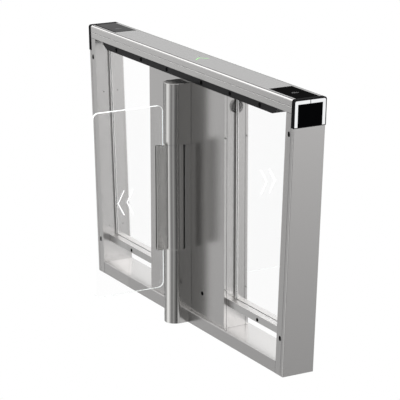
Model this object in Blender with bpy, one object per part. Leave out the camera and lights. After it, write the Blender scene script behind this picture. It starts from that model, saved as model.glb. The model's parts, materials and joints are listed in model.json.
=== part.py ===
"""Swing-leaf turnstile pedestal with two glass leaves.

Metres, +Z up, origin on the floor under the middle of the pedestal.
+X runs along the pedestal, the near column stands on the -Y side.
Left and far pieces are the right and near ones turned half a turn about Z.
"""
import math

import bmesh
import bpy
from mathutils import Matrix

# Clearances
GAP = 0.0003
RUNNING_GAP = 0.0005
OVERRUN = 0.002

# Frame
BASE_HALF_LENGTH = 0.715
END_LEAN_SHARE = 0.058
BODY_DEPTH = 0.1268
BASE_HEIGHT = 0.047
POST_WIDTH = 0.051
SHEET = 0.0025
END_RETURN = 0.017
CORNER_RADIUS = 0.0025
FOOT_PLATE_THICKNESS = 0.006
FOOT_PLATE_LENGTH = 0.42
ANCHOR_HOLE_RADIUS = 0.007
ANCHOR_EDGE = 0.022

# Column: fixed foot housing, turning sleeve, fixed head housing
DRUM_RADIUS = 0.0398
COLUMN_STANDOFF = 0.0484
FOOT_CLEARANCE = 0.0025
LOWER_HOUSING_HEIGHT = 0.2897
SLEEVE_LENGTH = 0.3996
UPPER_HOUSING_HEIGHT = 0.2307
HEAD_CLEARANCE = 0.0052
HOUSING_WALL = 0.0025
BEARING_PLATE = 0.005
EDGE_BREAK = 0.0008
GUARD_DEPTH = 0.0217
GUARD_CLEARANCE = 0.0015
SLEEVE_WALL = 0.0035

# Window bays beside the cabinet
GAP_BELOW_RAIL = 0.0825
RAIL_HEIGHT = 0.027
RAIL_DEPTH = 0.063
RAIL_SLOT_DEPTH = 0.012
PANE_THICKNESS = 0.008
PANE_PLAY = 0.0004
CHANNEL_WIDTH = 0.014
CHANNEL_REACH = 0.009
CHANNEL_WALL = 0.0015
CHANNEL_ROOT = 0.001

# Sensor strip under the top beam
STRIP_HEIGHT = 0.0258
STRIP_RECESS = 0.003
STRIP_END_GAP = 0.0544
STRIP_END_RUN = 0.038
STRIP_CORNER_RADIUS = 0.018
STRIP_GROOVE_DEPTH = 0.006
STRIP_WINDOW = 0.002
STRIP_BORDER = 0.0018

# Top beam and its inset cover
BEAM_HEIGHT = 0.0495
SHOULDER_RADIUS = 0.009
SHOULDER_WIDTH = 0.006
COVER_SEAM = 0.0012
COVER_THICKNESS = 0.003
LEDGE_WIDTH = 0.007

# Central cabinet
CABINET_LENGTH = 0.567
CABINET_DEPTH = 0.1034
CABINET_SHEET = 0.002
COVER_RETURN = 0.011

# End caps with light guides and glass
CAP_HEIGHT = 0.0995
CAP_PROUD = 0.0009
CAP_LIFT = 0.0008
CAP_FACE_LEAN_SHARE = 0.043
CAP_SIDE_RIM = 0.0032
CAP_TOP_RIM = 0.0055
CAP_FOOT_RIM = 0.0022
CAP_BACK = 0.004
CAP_CORNER_RADIUS = 0.0095
GUIDE_WIDTH = 0.0113
GUIDE_HEIGHT = 0.0121
GUIDE_CORNER_RADIUS = 0.006
GUIDE_BREAK = 0.0016
GUIDE_BREAK_DEPTH = 0.003
CAP_FACE_INSET = 0.0004

# Card readers and direction indicator in the top cover
READER_LENGTH = 0.18
READER_WIDTH = 0.093
READER_MODULE_LENGTH = 0.14
READER_MODULE_WIDTH = 0.08
READER_MODULE_HEIGHT = 0.022
CHEVRON_TIP = 0.003
CHEVRON_RUN = 0.026
CHEVRON_SPREAD = 0.027
CHEVRON_STROKE = 0.0045

# Sensor lenses
LENS_RADIUS = 0.006
LENS_DEPTH = 0.004
LENS_DIMPLE = 0.0005
POST_LENS_WIDTH = 0.011
POST_LENS_HEIGHT = 0.017
POST_LENS_INSET = 0.0225
POST_LENS_LOW = 0.138
POST_LENS_DROP = 0.0745
STRIP_LENS_FIRST = 0.1308
STRIP_LENS_PITCH = 0.205
CABINET_LENS_OFFSET = 0.1236
CABINET_LENS_RISE = 0.09
RAIL_LENS_OFFSET = 0.204
RAIL_LENS_RISE = 0.0095
RAIL_LENS_RADIUS = 0.0045

# Speaker behind its grille
GRILLE_DROP = 0.0496
GRILLE_RING_PITCH = 0.0077
GRILLE_HOLE_RADIUS = 0.0027
SPEAKER_RADIUS = 0.031
SPEAKER_FLANGE = 0.003
SPEAKER_DEPTH = 0.022
SPEAKER_MAGNET_RADIUS = 0.017

# Leaf and its clamp
LEAF_THICKNESS = 0.010
LEAF_LENGTH = 0.2865
LEAF_SETBACK = 0.0096
LEAF_BELOW_CLAMP = 0.1475
LEAF_ABOVE_CLAMP = 0.150
LEAF_CORNER_RADIUS = 0.023
CLAMP_REACH = 0.0295
CLAMP_PLATE = 0.0057
CLAMP_FLARE = 0.004
CLAMP_EDGE_BREAK = 0.0008

# Drive in the foot housing, pivot in the head housing
SHAFT_RADIUS = 0.009
SHAFT_INTO_SLEEVE = 0.036
SHAFT_INTO_MOTOR = 0.045
MOTOR_RADIUS = 0.029
MOTOR_LENGTH = 0.135
GEARBOX_RADIUS = 0.031
GEARBOX_LENGTH = 0.07
MOTOR_FLANGE_RADIUS = 0.035
MOTOR_FLANGE = 0.009
WEB_THICKNESS = 0.009
WEB_INSET = 0.004
PIN_HEAD_RADIUS = 0.017
PIN_HEAD = 0.008
BEARING_RADIUS = 0.019
BEARING_WIDTH = 0.009

# Electronics in the cabinet
BOARD_LENGTH = 0.07
BOARD_HEIGHT = 0.18
BOARD_THICKNESS = 0.0016
BOARD_STANDOFF = 0.008
BOARD_POST_RADIUS = 0.003
BOARD_POST_EDGE = 0.008
BOARD_BLOCK = 0.014
BOARD_BLOCK_PITCH = 0.028
BOARD_BASE = 0.42
SUPPLY_DEPTH = 0.05
SUPPLY_WIDTH = 0.075
SUPPLY_HEIGHT = 0.16
SUPPLY_BASE = 0.40

# Counts and angles
DRUM_SIDES = 48
SMALL_SIDES = 24
LENS_SIDES = 12
HOLE_SIDES = 6
GRILLE_RINGS = 3
GRILLE_RING_HOLES = 8
CORNER_STEPS = 5
BEVEL_STEPS = 2
STRIP_LENSES_EACH_WAY = 3
BOARD_BLOCKS = 3
SHARP_ANGLE = math.radians(35)
BREAK_ANGLE = math.radians(50)

# Levels and half sizes that follow from the sizes above
BODY_HALF = BODY_DEPTH / 2
CABINET_HALF = CABINET_DEPTH / 2
CABINET_REACH = CABINET_LENGTH / 2
RAIL_HALF = RAIL_DEPTH / 2
RAIL_FOOT = BASE_HEIGHT + GAP_BELOW_RAIL
RAIL_TOP = RAIL_FOOT + RAIL_HEIGHT
LOWER_TOP = FOOT_CLEARANCE + LOWER_HOUSING_HEIGHT
SLEEVE_FOOT = LOWER_TOP + RUNNING_GAP
SLEEVE_TOP = SLEEVE_FOOT + SLEEVE_LENGTH
UPPER_FOOT = SLEEVE_TOP + RUNNING_GAP
UPPER_TOP = UPPER_FOOT + UPPER_HOUSING_HEIGHT
STRIP_FOOT = UPPER_TOP + HEAD_CLEARANCE
BEAM_FOOT = STRIP_FOOT + STRIP_HEIGHT
TOP_HEIGHT = BEAM_FOOT + BEAM_HEIGHT
CAP_FOOT = TOP_HEIGHT - CAP_HEIGHT
COVER_FOOT = TOP_HEIGHT - COVER_THICKNESS
COVER_HALF = BODY_HALF - SHOULDER_WIDTH - COVER_SEAM
STRIP_HALF_LENGTH = BASE_HALF_LENGTH + END_LEAN_SHARE * BEAM_FOOT - POST_WIDTH - STRIP_END_GAP
AXIS_OFFSET = CABINET_HALF + COLUMN_STANDOFF
PANE_HALF = PANE_THICKNESS / 2
PANE_SLOT_HALF = PANE_HALF + PANE_PLAY
HALF_TURN = math.pi

# Finishes: colour, metallic, roughness
STEEL = ((0.40, 0.40, 0.39), 1.0, 0.34)
INNER_STEEL = ((0.30, 0.30, 0.30), 1.0, 0.45)
BLACK = ((0.012, 0.012, 0.013), 0.0, 0.35)
BLACK_GLASS = ((0.004, 0.004, 0.005), 0.0, 0.06)
LENS = ((0.006, 0.006, 0.008), 0.0, 0.10)
CLEAR = ((0.93, 0.96, 0.95), 0.0, 0.03)
WHITE_LIGHT = ((0.95, 0.96, 0.98), 0.0, 0.25)
GREEN_LIGHT = ((0.20, 0.62, 0.16), 0.0, 0.30)
DIM_LIGHT = ((0.32, 0.32, 0.32), 0.0, 0.35)
BOARD_GREEN = ((0.02, 0.13, 0.06), 0.0, 0.45)
MOTOR_GREY = ((0.10, 0.10, 0.11), 0.6, 0.45)
BRIGHT_STEEL = ((0.55, 0.55, 0.55), 1.0, 0.22)


def clear_scene():
    """Remove every object that the new file starts with."""
    for obj in list(bpy.data.objects):
        bpy.data.objects.remove(obj, do_unlink=True)


def paint(obj, finish):
    """Give an object its own material."""
    colour, metallic, roughness = finish
    surface = bpy.data.materials.new(obj.name + "_finish")
    surface.use_nodes = True
    shader = surface.node_tree.nodes["Principled BSDF"]
    shader.inputs["Base Color"].default_value = (*colour, 1.0)
    shader.inputs["Metallic"].default_value = metallic
    shader.inputs["Roughness"].default_value = roughness
    if not obj.data.materials:
        obj.data.materials.append(None)
    obj.material_slots[0].link = "OBJECT"
    obj.material_slots[0].material = surface


def place(name, bm):
    """Turn a bmesh into a named object with its faces pointing out."""
    bmesh.ops.recalc_face_normals(bm, faces=bm.faces)
    mesh = bpy.data.meshes.new(name)
    bm.to_mesh(mesh)
    bm.free()
    obj = bpy.data.objects.new(name, mesh)
    bpy.context.scene.collection.objects.link(obj)
    return obj


def add_solid(bm, first, last):
    """Close a solid between two matching rings of points."""
    start = [bm.verts.new(point) for point in first]
    end = [bm.verts.new(point) for point in last]
    bm.faces.new(start)
    bm.faces.new(list(reversed(end)))
    for index, corner in enumerate(start):
        after = (index + 1) % len(start)
        bm.faces.new((corner, end[index], end[after], start[after]))


def solid_between(name, first, last):
    """One closed solid between two matching rings of points."""
    bm = bmesh.new()
    add_solid(bm, first, last)
    return place(name, bm)


def along_x(profile, reach):
    """Put a (y, z) profile on the plane or slope x = reach(z)."""
    return [(reach(z), y, z) for y, z in profile]


def along_y(profile, y):
    """Put an (x, z) profile on the plane at y."""
    return [(x, y, z) for x, z in profile]


def along_z(profile, z):
    """Put an (x, y) profile on the plane at z."""
    return [(x, y, z) for x, y in profile]


def box(name, low, high):
    """A box between two opposite corners."""
    profile = rectangle(low[0], low[1], high[0], high[1])
    return solid_between(name, along_z(profile, low[2]), along_z(profile, high[2]))


def rectangle(low_u, low_v, high_u, high_v):
    """Four corners of a flat rectangle."""
    return [(low_u, low_v), (high_u, low_v), (high_u, high_v), (low_u, high_v)]


def arc(centre, radius, start, end, steps):
    """Points of a circular arc, both ends included."""
    points = []
    for step in range(steps + 1):
        angle = start + (end - start) * step / steps
        points.append((centre[0] + radius * math.cos(angle), centre[1] + radius * math.sin(angle)))
    return points


def circle(centre, radius, sides):
    """Points of a full circle, each once."""
    return arc(centre, radius, 0, 2 * math.pi, sides)[:-1]


def rounded_rectangle(low_u, low_v, high_u, high_v, radius):
    """A rectangle with four round corners."""
    quarter = math.pi / 2
    corners = [(low_u + radius, low_v + radius), (high_u - radius, low_v + radius),
               (high_u - radius, high_v - radius), (low_u + radius, high_v - radius)]
    points = []
    for index, corner in enumerate(corners):
        start = math.pi + index * quarter
        points += arc(corner, radius, start, start + quarter, CORNER_STEPS)
    return points


def turned(name, profile, sides):
    """Spin a closed (radius, z) profile a full turn about the object's Z axis."""
    bm = bmesh.new()
    corners = [bm.verts.new((radius, 0, z)) for radius, z in profile]
    edges = [bm.edges.new((corner, corners[index - 1])) for index, corner in enumerate(corners)]
    bmesh.ops.spin(bm, geom=corners + edges, cent=(0, 0, 0), axis=(0, 0, 1),
                   angle=2 * math.pi, steps=sides, use_merge=True)
    axis_points = [vert for vert in bm.verts if math.hypot(vert.co.x, vert.co.y) < GAP]
    bmesh.ops.remove_doubles(bm, verts=axis_points, dist=GAP / 2)
    return place(name, bm)


def carve(obj, cutter, operation="DIFFERENCE"):
    """Cut one object with another, or join it on, and keep the result as its mesh."""
    modifier = obj.modifiers.new("carve", "BOOLEAN")
    modifier.operation = operation
    modifier.solver = "EXACT"
    modifier.object = cutter
    settle(obj)
    bpy.data.objects.remove(cutter, do_unlink=True)
    return obj


def settle(obj):
    """Keep an object's evaluated shape as its own mesh."""
    bpy.context.view_layer.update()
    graph = bpy.context.evaluated_depsgraph_get()
    shape = bpy.data.meshes.new_from_object(obj.evaluated_get(graph))
    obj.modifiers.clear()
    obj.data = shape


def soften(obj, width, steps=BEVEL_STEPS, least_angle=BREAK_ANGLE):
    """Round an object's sharp edges."""
    bevel = obj.modifiers.new("soften", "BEVEL")
    bevel.width = width
    bevel.segments = steps
    bevel.limit_method = "ANGLE"
    bevel.angle_limit = least_angle
    settle(obj)
    return obj


def smooth(obj):
    """Shade round faces smooth and keep sharp edges sharp."""
    obj.data.shade_smooth()
    obj.data.set_sharp_from_angle(angle=SHARP_ANGLE)
    return obj


def twin(obj, name, finish):
    """The same piece on the opposite side, half a turn about Z."""
    copy = bpy.data.objects.new(name, obj.data)
    copy.rotation_euler.z = HALF_TURN
    bpy.context.scene.collection.objects.link(copy)
    paint(copy, finish)
    return copy


def pair(obj, names, finish):
    """Paint a piece and add its twin."""
    obj.name = names[0]
    paint(obj, finish)
    twin(obj, names[1], finish)


def end_outer(z):
    """Outer face of the right end at height z."""
    return BASE_HALF_LENGTH + END_LEAN_SHARE * z


def end_groove(z):
    """Where the side returns of the end cover and the cap stop."""
    return end_outer(z) - END_RETURN


def post_inner(z):
    """Inner wall of the right post."""
    return end_outer(z) - POST_WIDTH


def cap_face(z):
    """Outer face of the right cap, more upright than the end."""
    return end_outer(TOP_HEIGHT) - CAP_FACE_LEAN_SHARE * (TOP_HEIGHT - z)


def leaning(profile, foot, head, name):
    """An (x, y) profile, drawn at floor level, that leans with the right end."""
    rings = []
    for level in (foot, head):
        rings.append([(x + END_LEAN_SHARE * level, y, level) for x, y in profile])
    return solid_between(name, rings[0], rings[1])


def many_plugs(name, outlines, planes):
    """Separate plugs from (x, z) outlines, each between two y planes."""
    bm = bmesh.new()
    for outline in outlines:
        for plane in planes:
            add_solid(bm, along_y(outline, plane[0]), along_y(outline, plane[1]))
    return place(name, bm)


def cut_planes(half, depth):
    """Y planes of pockets cut into the near and the far face."""
    return [(-half - OVERRUN, -half + depth + GAP), (half + OVERRUN, half - depth - GAP)]


def build_base():
    """Bottom beam, an upturned channel, and the plates that bolt to the floor."""
    def end(z):
        return post_inner(z) - GAP

    corners = [(-end(0), 0), (end(0), 0), (end(BASE_HEIGHT), BASE_HEIGHT), (-end(BASE_HEIGHT), BASE_HEIGHT)]
    beam = solid_between("base_beam", along_y(corners, -BODY_HALF), along_y(corners, BODY_HALF))
    inner = BODY_HALF - SHEET
    reach = end(0) + OVERRUN + SHEET
    carve(beam, box("hollow", (-reach, -inner, -OVERRUN), (reach, inner, BASE_HEIGHT - SHEET)))
    paint(beam, STEEL)

    half_length = FOOT_PLATE_LENGTH / 2
    half_width = inner - GAP
    plate = box("floor_plate", (-half_length, -half_width, 0), (half_length, half_width, FOOT_PLATE_THICKNESS))
    holes = [(x, y) for x in (ANCHOR_EDGE - half_length, half_length - ANCHOR_EDGE)
             for y in (ANCHOR_EDGE - half_width, half_width - ANCHOR_EDGE)]
    carve(plate, anchor_cutter(holes))
    paint(plate, INNER_STEEL)

    low = post_inner(FOOT_PLATE_THICKNESS) + SHEET + GAP
    high = end_outer(0) - SHEET - GAP
    end_plate = box("right_foot_plate", (low, -half_width, 0), (high, half_width, FOOT_PLATE_THICKNESS))
    middle = (low + high) / 2
    holes = [(middle, ANCHOR_EDGE - half_width), (middle, half_width - ANCHOR_EDGE)]
    carve(end_plate, anchor_cutter(holes))
    pair(end_plate, ("right_foot_plate", "left_foot_plate"), INNER_STEEL)


def anchor_cutter(centres):
    """Round cutters for anchor bolts through a foot plate."""
    bm = bmesh.new()
    for centre in centres:
        outline = circle(centre, ANCHOR_HOLE_RADIUS, LENS_SIDES)
        add_solid(bm, along_z(outline, -OVERRUN), along_z(outline, FOOT_PLATE_THICKNESS + OVERRUN))
    return place("anchor_cutter", bm)


def build_posts():
    """Folded posts, open towards the ends, and the covers that close them."""
    low = post_inner(0)
    high = end_groove(0) - GAP
    wall = low + SHEET
    inner = BODY_HALF - SHEET
    profile = [(low, -BODY_HALF), (high, -BODY_HALF), (high, -inner), (wall, -inner),
               (wall, inner), (high, inner), (high, BODY_HALF), (low, BODY_HALF)]
    post = leaning(profile, 0, BEAM_FOOT - GAP, "right_post")
    section = channel_profile(low + CHANNEL_ROOT, -1)
    carve(post, leaning(section, RAIL_TOP + GAP, BEAM_FOOT - GAP, "channel"), "UNION")
    carve(post, many_plugs("lens_cut", post_lens_outlines(GAP), cut_planes(BODY_HALF, LENS_DEPTH)))
    pair(post, ("right_post", "left_post"), STEEL)

    low = end_groove(0)
    high = end_outer(0)
    quarter = math.pi / 2
    outer = [(low, -BODY_HALF)]
    outer += arc((high - CORNER_RADIUS, CORNER_RADIUS - BODY_HALF), CORNER_RADIUS, -quarter, 0, CORNER_STEPS)
    outer += arc((high - CORNER_RADIUS, BODY_HALF - CORNER_RADIUS), CORNER_RADIUS, 0, quarter, CORNER_STEPS)
    outer += [(low, BODY_HALF), (low, inner), (high - SHEET, inner), (high - SHEET, -inner), (low, -inner)]
    cover = leaning(outer, 0, CAP_FOOT - GAP, "right_end_cover")
    pair(smooth(cover), ("right_end_cover", "left_end_cover"), STEEL)

    for outline, label in zip(post_lens_outlines(0), ("lower", "upper")):
        sensor = solid_between(label, along_y(outline, -BODY_HALF), along_y(outline, BODY_HALF))
        pair(smooth(sensor), ("right_" + label + "_sensor", "left_" + label + "_sensor"), LENS)


def left_of(outlines):
    """The same (x, z) outlines on the left side."""
    return [[(-x, z) for x, z in outline] for outline in outlines]


def post_lens_outlines(margin):
    """Upright ovals near the head and the foot of the right post."""
    outlines = []
    for level in (POST_LENS_LOW, BEAM_FOOT - POST_LENS_DROP):
        x = post_inner(level) + POST_LENS_INSET
        half_width = POST_LENS_WIDTH / 2 + margin
        half_height = POST_LENS_HEIGHT / 2 + margin
        outlines.append(rounded_rectangle(x - half_width, level - half_height, x + half_width,
                                          level + half_height, half_width - GAP))
    return outlines


def build_strip():
    """Dark strip under the top beam with a groove for the panes, and its lenses."""
    half = BODY_HALF - STRIP_RECESS
    head = BEAM_FOOT - GAP
    quarter = math.pi / 2
    rise = math.atan2(STRIP_HEIGHT, STRIP_END_RUN)
    tangent = STRIP_CORNER_RADIUS * math.tan(rise / 2)
    centre = (STRIP_HALF_LENGTH - STRIP_END_RUN - tangent, STRIP_FOOT + STRIP_CORNER_RADIUS)
    foot = arc(centre, STRIP_CORNER_RADIUS, -quarter, rise - quarter, CORNER_STEPS)
    left_foot = [(-x, z) for x, z in reversed(foot)]
    corners = left_foot + foot + [(STRIP_HALF_LENGTH, head), (-STRIP_HALF_LENGTH, head)]
    strip = solid_between("sensor_strip", along_y(corners, -half), along_y(corners, half))
    groove = box("groove", (-STRIP_HALF_LENGTH, -PANE_SLOT_HALF, STRIP_FOOT - OVERRUN),
                 (STRIP_HALF_LENGTH, PANE_SLOT_HALF, STRIP_FOOT + STRIP_GROOVE_DEPTH))
    carve(strip, groove)
    carve(strip, many_plugs("recess", [strip_window_outline(0)], cut_planes(half, STRIP_WINDOW)))
    paint(strip, BLACK)
    window = solid_between("near_strip_window", along_y(strip_window_outline(GAP), -half),
                           along_y(strip_window_outline(GAP), STRIP_WINDOW - half))
    dimples = [(-half - OVERRUN, LENS_DIMPLE - half)]
    carve(window, many_plugs("dimples", strip_lens_outlines(), dimples))
    pair(window, ("near_strip_window", "far_strip_window"), BLACK_GLASS)


def strip_window_outline(margin):
    """The dark window on the strip's side face, inside an even border."""
    foot = STRIP_FOOT + STRIP_BORDER + margin
    head = BEAM_FOOT - STRIP_BORDER - margin
    run = STRIP_END_RUN / STRIP_HEIGHT
    foot_reach = STRIP_HALF_LENGTH - STRIP_END_RUN + run * (foot - STRIP_FOOT) - STRIP_BORDER - margin
    head_reach = foot_reach + run * (head - foot)
    return [(-foot_reach, foot), (foot_reach, foot), (head_reach, head), (-head_reach, head)]


def strip_lens_outlines():
    """Round lenses, evenly spaced each way from the middle."""
    level = (STRIP_FOOT + BEAM_FOOT) / 2
    outlines = []
    for index in range(STRIP_LENSES_EACH_WAY):
        x = STRIP_LENS_FIRST + index * STRIP_LENS_PITCH
        outlines.append(circle((x, level), LENS_RADIUS, LENS_SIDES))
    return outlines + left_of(outlines)


def build_top():
    """Top beam with round shoulders, the cover inset between them and its cut-outs."""
    quarter = math.pi / 2
    ledge = COVER_FOOT - GAP
    inner = BODY_HALF - SHEET
    centre = (BODY_HALF - SHOULDER_RADIUS, TOP_HEIGHT - SHOULDER_RADIUS)
    lip = BODY_HALF - SHOULDER_WIDTH
    lip_angle = math.acos((lip - centre[0]) / SHOULDER_RADIUS)
    half = [(BODY_HALF, BEAM_FOOT)]
    half += arc(centre, SHOULDER_RADIUS, 0, min(lip_angle, quarter), CORNER_STEPS)
    half += [(lip, ledge), (lip - LEDGE_WIDTH, ledge), (lip - LEDGE_WIDTH, ledge - SHEET),
             (inner, ledge - SHEET), (inner, BEAM_FOOT + SHEET)]
    profile = half + [(-y, z) for y, z in reversed(half)]
    beam = solid_between("top_beam", along_x(profile, lambda z: GAP - end_groove(z)),
                         along_x(profile, lambda z: end_groove(z) - GAP))
    paint(smooth(beam), STEEL)

    profile = rectangle(-COVER_HALF, COVER_FOOT, COVER_HALF, TOP_HEIGHT)
    cover = solid_between("top_cover", along_x(profile, lambda z: GAP - end_groove(z)),
                          along_x(profile, lambda z: end_groove(z) - GAP))
    reader_half = READER_WIDTH / 2 + GAP
    start = end_groove(TOP_HEIGHT) - READER_LENGTH - GAP
    for side in (-1, 1):
        profile = rectangle(side * start, -reader_half, side * end_outer(TOP_HEIGHT), reader_half)
        notch = solid_between("notch", along_z(profile, COVER_FOOT - OVERRUN),
                              along_z(profile, TOP_HEIGHT + OVERRUN))
        carve(cover, notch)
        window = solid_between("window", along_z(chevron(side, GAP), COVER_FOOT - OVERRUN),
                               along_z(chevron(side, GAP), TOP_HEIGHT + OVERRUN))
        carve(cover, window)
    paint(cover, STEEL)

    for side, name, finish in ((1, "lit_chevron", GREEN_LIGHT), (-1, "unlit_chevron", DIM_LIGHT)):
        piece = solid_between(name, along_z(chevron(side, 0), COVER_FOOT), along_z(chevron(side, 0), TOP_HEIGHT))
        paint(piece, finish)


def chevron(side, margin):
    """A V on its side: tip towards the middle, arms running outwards."""
    tip = CHEVRON_TIP - margin
    length = math.hypot(CHEVRON_RUN, CHEVRON_SPREAD)
    slant = CHEVRON_STROKE * length / CHEVRON_SPREAD + 2 * margin
    run = CHEVRON_RUN + margin
    spread = CHEVRON_SPREAD + margin
    points = [(tip, 0), (tip + run, -spread), (tip + run + slant, -spread),
              (tip + slant, 0), (tip + run + slant, spread), (tip + run, spread)]
    return [(side * x, y) for x, y in points]


def build_readers():
    """Black reader glass inset in the cover, and the reader modules under it."""
    half = READER_WIDTH / 2
    profile = rectangle(-half, COVER_FOOT, half, TOP_HEIGHT)
    start = end_groove(TOP_HEIGHT) - READER_LENGTH
    glass = solid_between("right_reader_glass", along_x(profile, lambda z: start),
                          along_x(profile, lambda z: end_groove(z) - GAP))
    pair(glass, ("right_reader_glass", "left_reader_glass"), BLACK_GLASS)

    head = COVER_FOOT - GAP
    middle = start + READER_LENGTH / 2
    low = (middle - READER_MODULE_LENGTH / 2, -READER_MODULE_WIDTH / 2, head - READER_MODULE_HEIGHT)
    high = (middle + READER_MODULE_LENGTH / 2, READER_MODULE_WIDTH / 2, head)
    module = box("right_reader_module", low, high)
    pair(module, ("right_reader_module", "left_reader_module"), BLACK)


def round_headed(half, foot, head, radius):
    """A (y, z) outline with square lower and round upper corners."""
    quarter = math.pi / 2
    points = [(-half, foot), (half, foot)]
    points += arc((half - radius, head - radius), radius, 0, quarter, CORNER_STEPS)
    points += arc((radius - half, head - radius), radius, quarter, 2 * quarter, CORNER_STEPS)
    return points


def build_caps():
    """End caps: black trays that hold two light guides round a glass panel."""
    head = TOP_HEIGHT + CAP_LIFT
    half = BODY_HALF + CAP_PROUD
    profile = round_headed(half, CAP_FOOT, head, CAP_CORNER_RADIUS)
    cap = solid_between("right_cap", along_x(profile, end_groove), along_x(profile, cap_face))
    tray_half = half - CAP_SIDE_RIM
    tray_head = head - CAP_TOP_RIM
    tray_foot = CAP_FOOT + CAP_FOOT_RIM
    profile = round_headed(tray_half, tray_foot, tray_head, GUIDE_CORNER_RADIUS)
    tray = solid_between("tray", along_x(profile, lambda z: end_groove(z) + CAP_BACK),
                         along_x(profile, lambda z: cap_face(z) + OVERRUN))
    carve(cap, tray)
    pair(smooth(cap), ("right_cap", "left_cap"), BLACK)

    def back(z):
        return end_groove(z) + CAP_BACK + GAP

    def front(z):
        return cap_face(z) - CAP_FACE_INSET

    outer = tray_half - GAP
    inner = outer - GUIDE_WIDTH
    top = tray_head - GAP
    under = top - GUIDE_HEIGHT
    foot = tray_foot + GAP
    quarter = math.pi / 2
    centre = (outer - GUIDE_CORNER_RADIUS, top - GUIDE_CORNER_RADIUS)
    leg = [(inner, foot), (outer, foot)]
    leg += arc(centre, GUIDE_CORNER_RADIUS, 0, quarter, CORNER_STEPS)
    profile = [(inner, under)] + leg + [(-y, z) for y, z in reversed(leg)] + [(-inner, under)]
    guide = solid_between("right_light_guide", along_x(profile, back), along_x(profile, front))
    notch = rectangle(-GUIDE_BREAK / 2, under - OVERRUN, GUIDE_BREAK / 2, top + OVERRUN)
    carve(guide, solid_between("notch", along_x(notch, lambda z: front(z) - GUIDE_BREAK_DEPTH),
                               along_x(notch, lambda z: front(z) + OVERRUN)))
    pair(smooth(guide), ("right_light_guide", "left_light_guide"), WHITE_LIGHT)

    profile = rectangle(GAP - inner, foot, inner - GAP, under - GAP)
    glass = solid_between("right_cap_glass", along_x(profile, back), along_x(profile, front))
    pair(glass, ("right_cap_glass", "left_cap_glass"), BLACK_GLASS)


def build_cabinet():
    """Cabinet between the bays: two lift-off covers and two fixed side walls."""
    foot = BASE_HEIGHT + GAP
    head = STRIP_FOOT - GAP
    skin = CABINET_HALF - CABINET_SHEET
    wall = CABINET_REACH - CABINET_SHEET
    lip = CABINET_HALF - COVER_RETURN
    profile = [(-CABINET_REACH, -CABINET_HALF), (CABINET_REACH, -CABINET_HALF), (CABINET_REACH, -lip),
               (wall, -lip), (wall, -skin), (-wall, -skin), (-wall, -lip), (-CABINET_REACH, -lip)]
    cover = solid_between("near_cabinet_cover", along_z(profile, foot), along_z(profile, head))
    carve(cover, many_plugs("lens_cut", cabinet_lens_outlines(), cut_planes(CABINET_HALF, LENS_DEPTH)[:1]))
    pair(cover, ("near_cabinet_cover", "far_cabinet_cover"), STEEL)

    half = lip - GAP
    low = (wall, -half, foot)
    high = (CABINET_REACH, half, head)
    right = box("right_cabinet_wall", low, high)
    left = box("left_cabinet_wall", (-CABINET_REACH, -half, foot), (-wall, half, head))
    for panel, side in ((right, 1), (left, -1)):
        section = [(side * x, y) for x, y in channel_profile(CABINET_REACH - CHANNEL_ROOT, 1)]
        carve(panel, solid_between("channel", along_z(section, RAIL_TOP + GAP), along_z(section, head)), "UNION")
    grille = grille_cutter(wall - OVERRUN, CABINET_REACH + OVERRUN, head - GRILLE_DROP)
    carve(right, grille)
    paint(right, STEEL)
    paint(left, STEEL)

    level = head - GRILLE_DROP
    profile = [(0, 0), (SPEAKER_RADIUS, 0), (SPEAKER_RADIUS, SPEAKER_FLANGE),
               (SPEAKER_MAGNET_RADIUS, SPEAKER_DEPTH / 2), (SPEAKER_MAGNET_RADIUS, SPEAKER_DEPTH),
               (0, SPEAKER_DEPTH)]
    speaker = turned("speaker", profile, SMALL_SIDES)
    speaker.data.transform(Matrix.Rotation(-math.pi / 2, 4, "Y"))
    speaker.location = (wall - GAP, 0, level)
    paint(smooth(speaker), BLACK)


def cabinet_lens_outlines():
    """Two round lenses low on a cabinet cover."""
    level = BASE_HEIGHT + CABINET_LENS_RISE
    outline = circle((CABINET_LENS_OFFSET, level), LENS_RADIUS, LENS_SIDES)
    return [outline] + left_of([outline])


def grille_cutter(low, high, level):
    """Rings of small holes through a side wall."""
    centres = [(0, level)]
    for ring in range(1, GRILLE_RINGS + 1):
        centres += circle((0, level), ring * GRILLE_RING_PITCH, ring * GRILLE_RING_HOLES)
    bm = bmesh.new()
    for centre in centres:
        profile = circle(centre, GRILLE_HOLE_RADIUS, HOLE_SIDES)
        add_solid(bm, along_x(profile, lambda z: low), along_x(profile, lambda z: high))
    return place("grille_cutter", bm)


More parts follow.
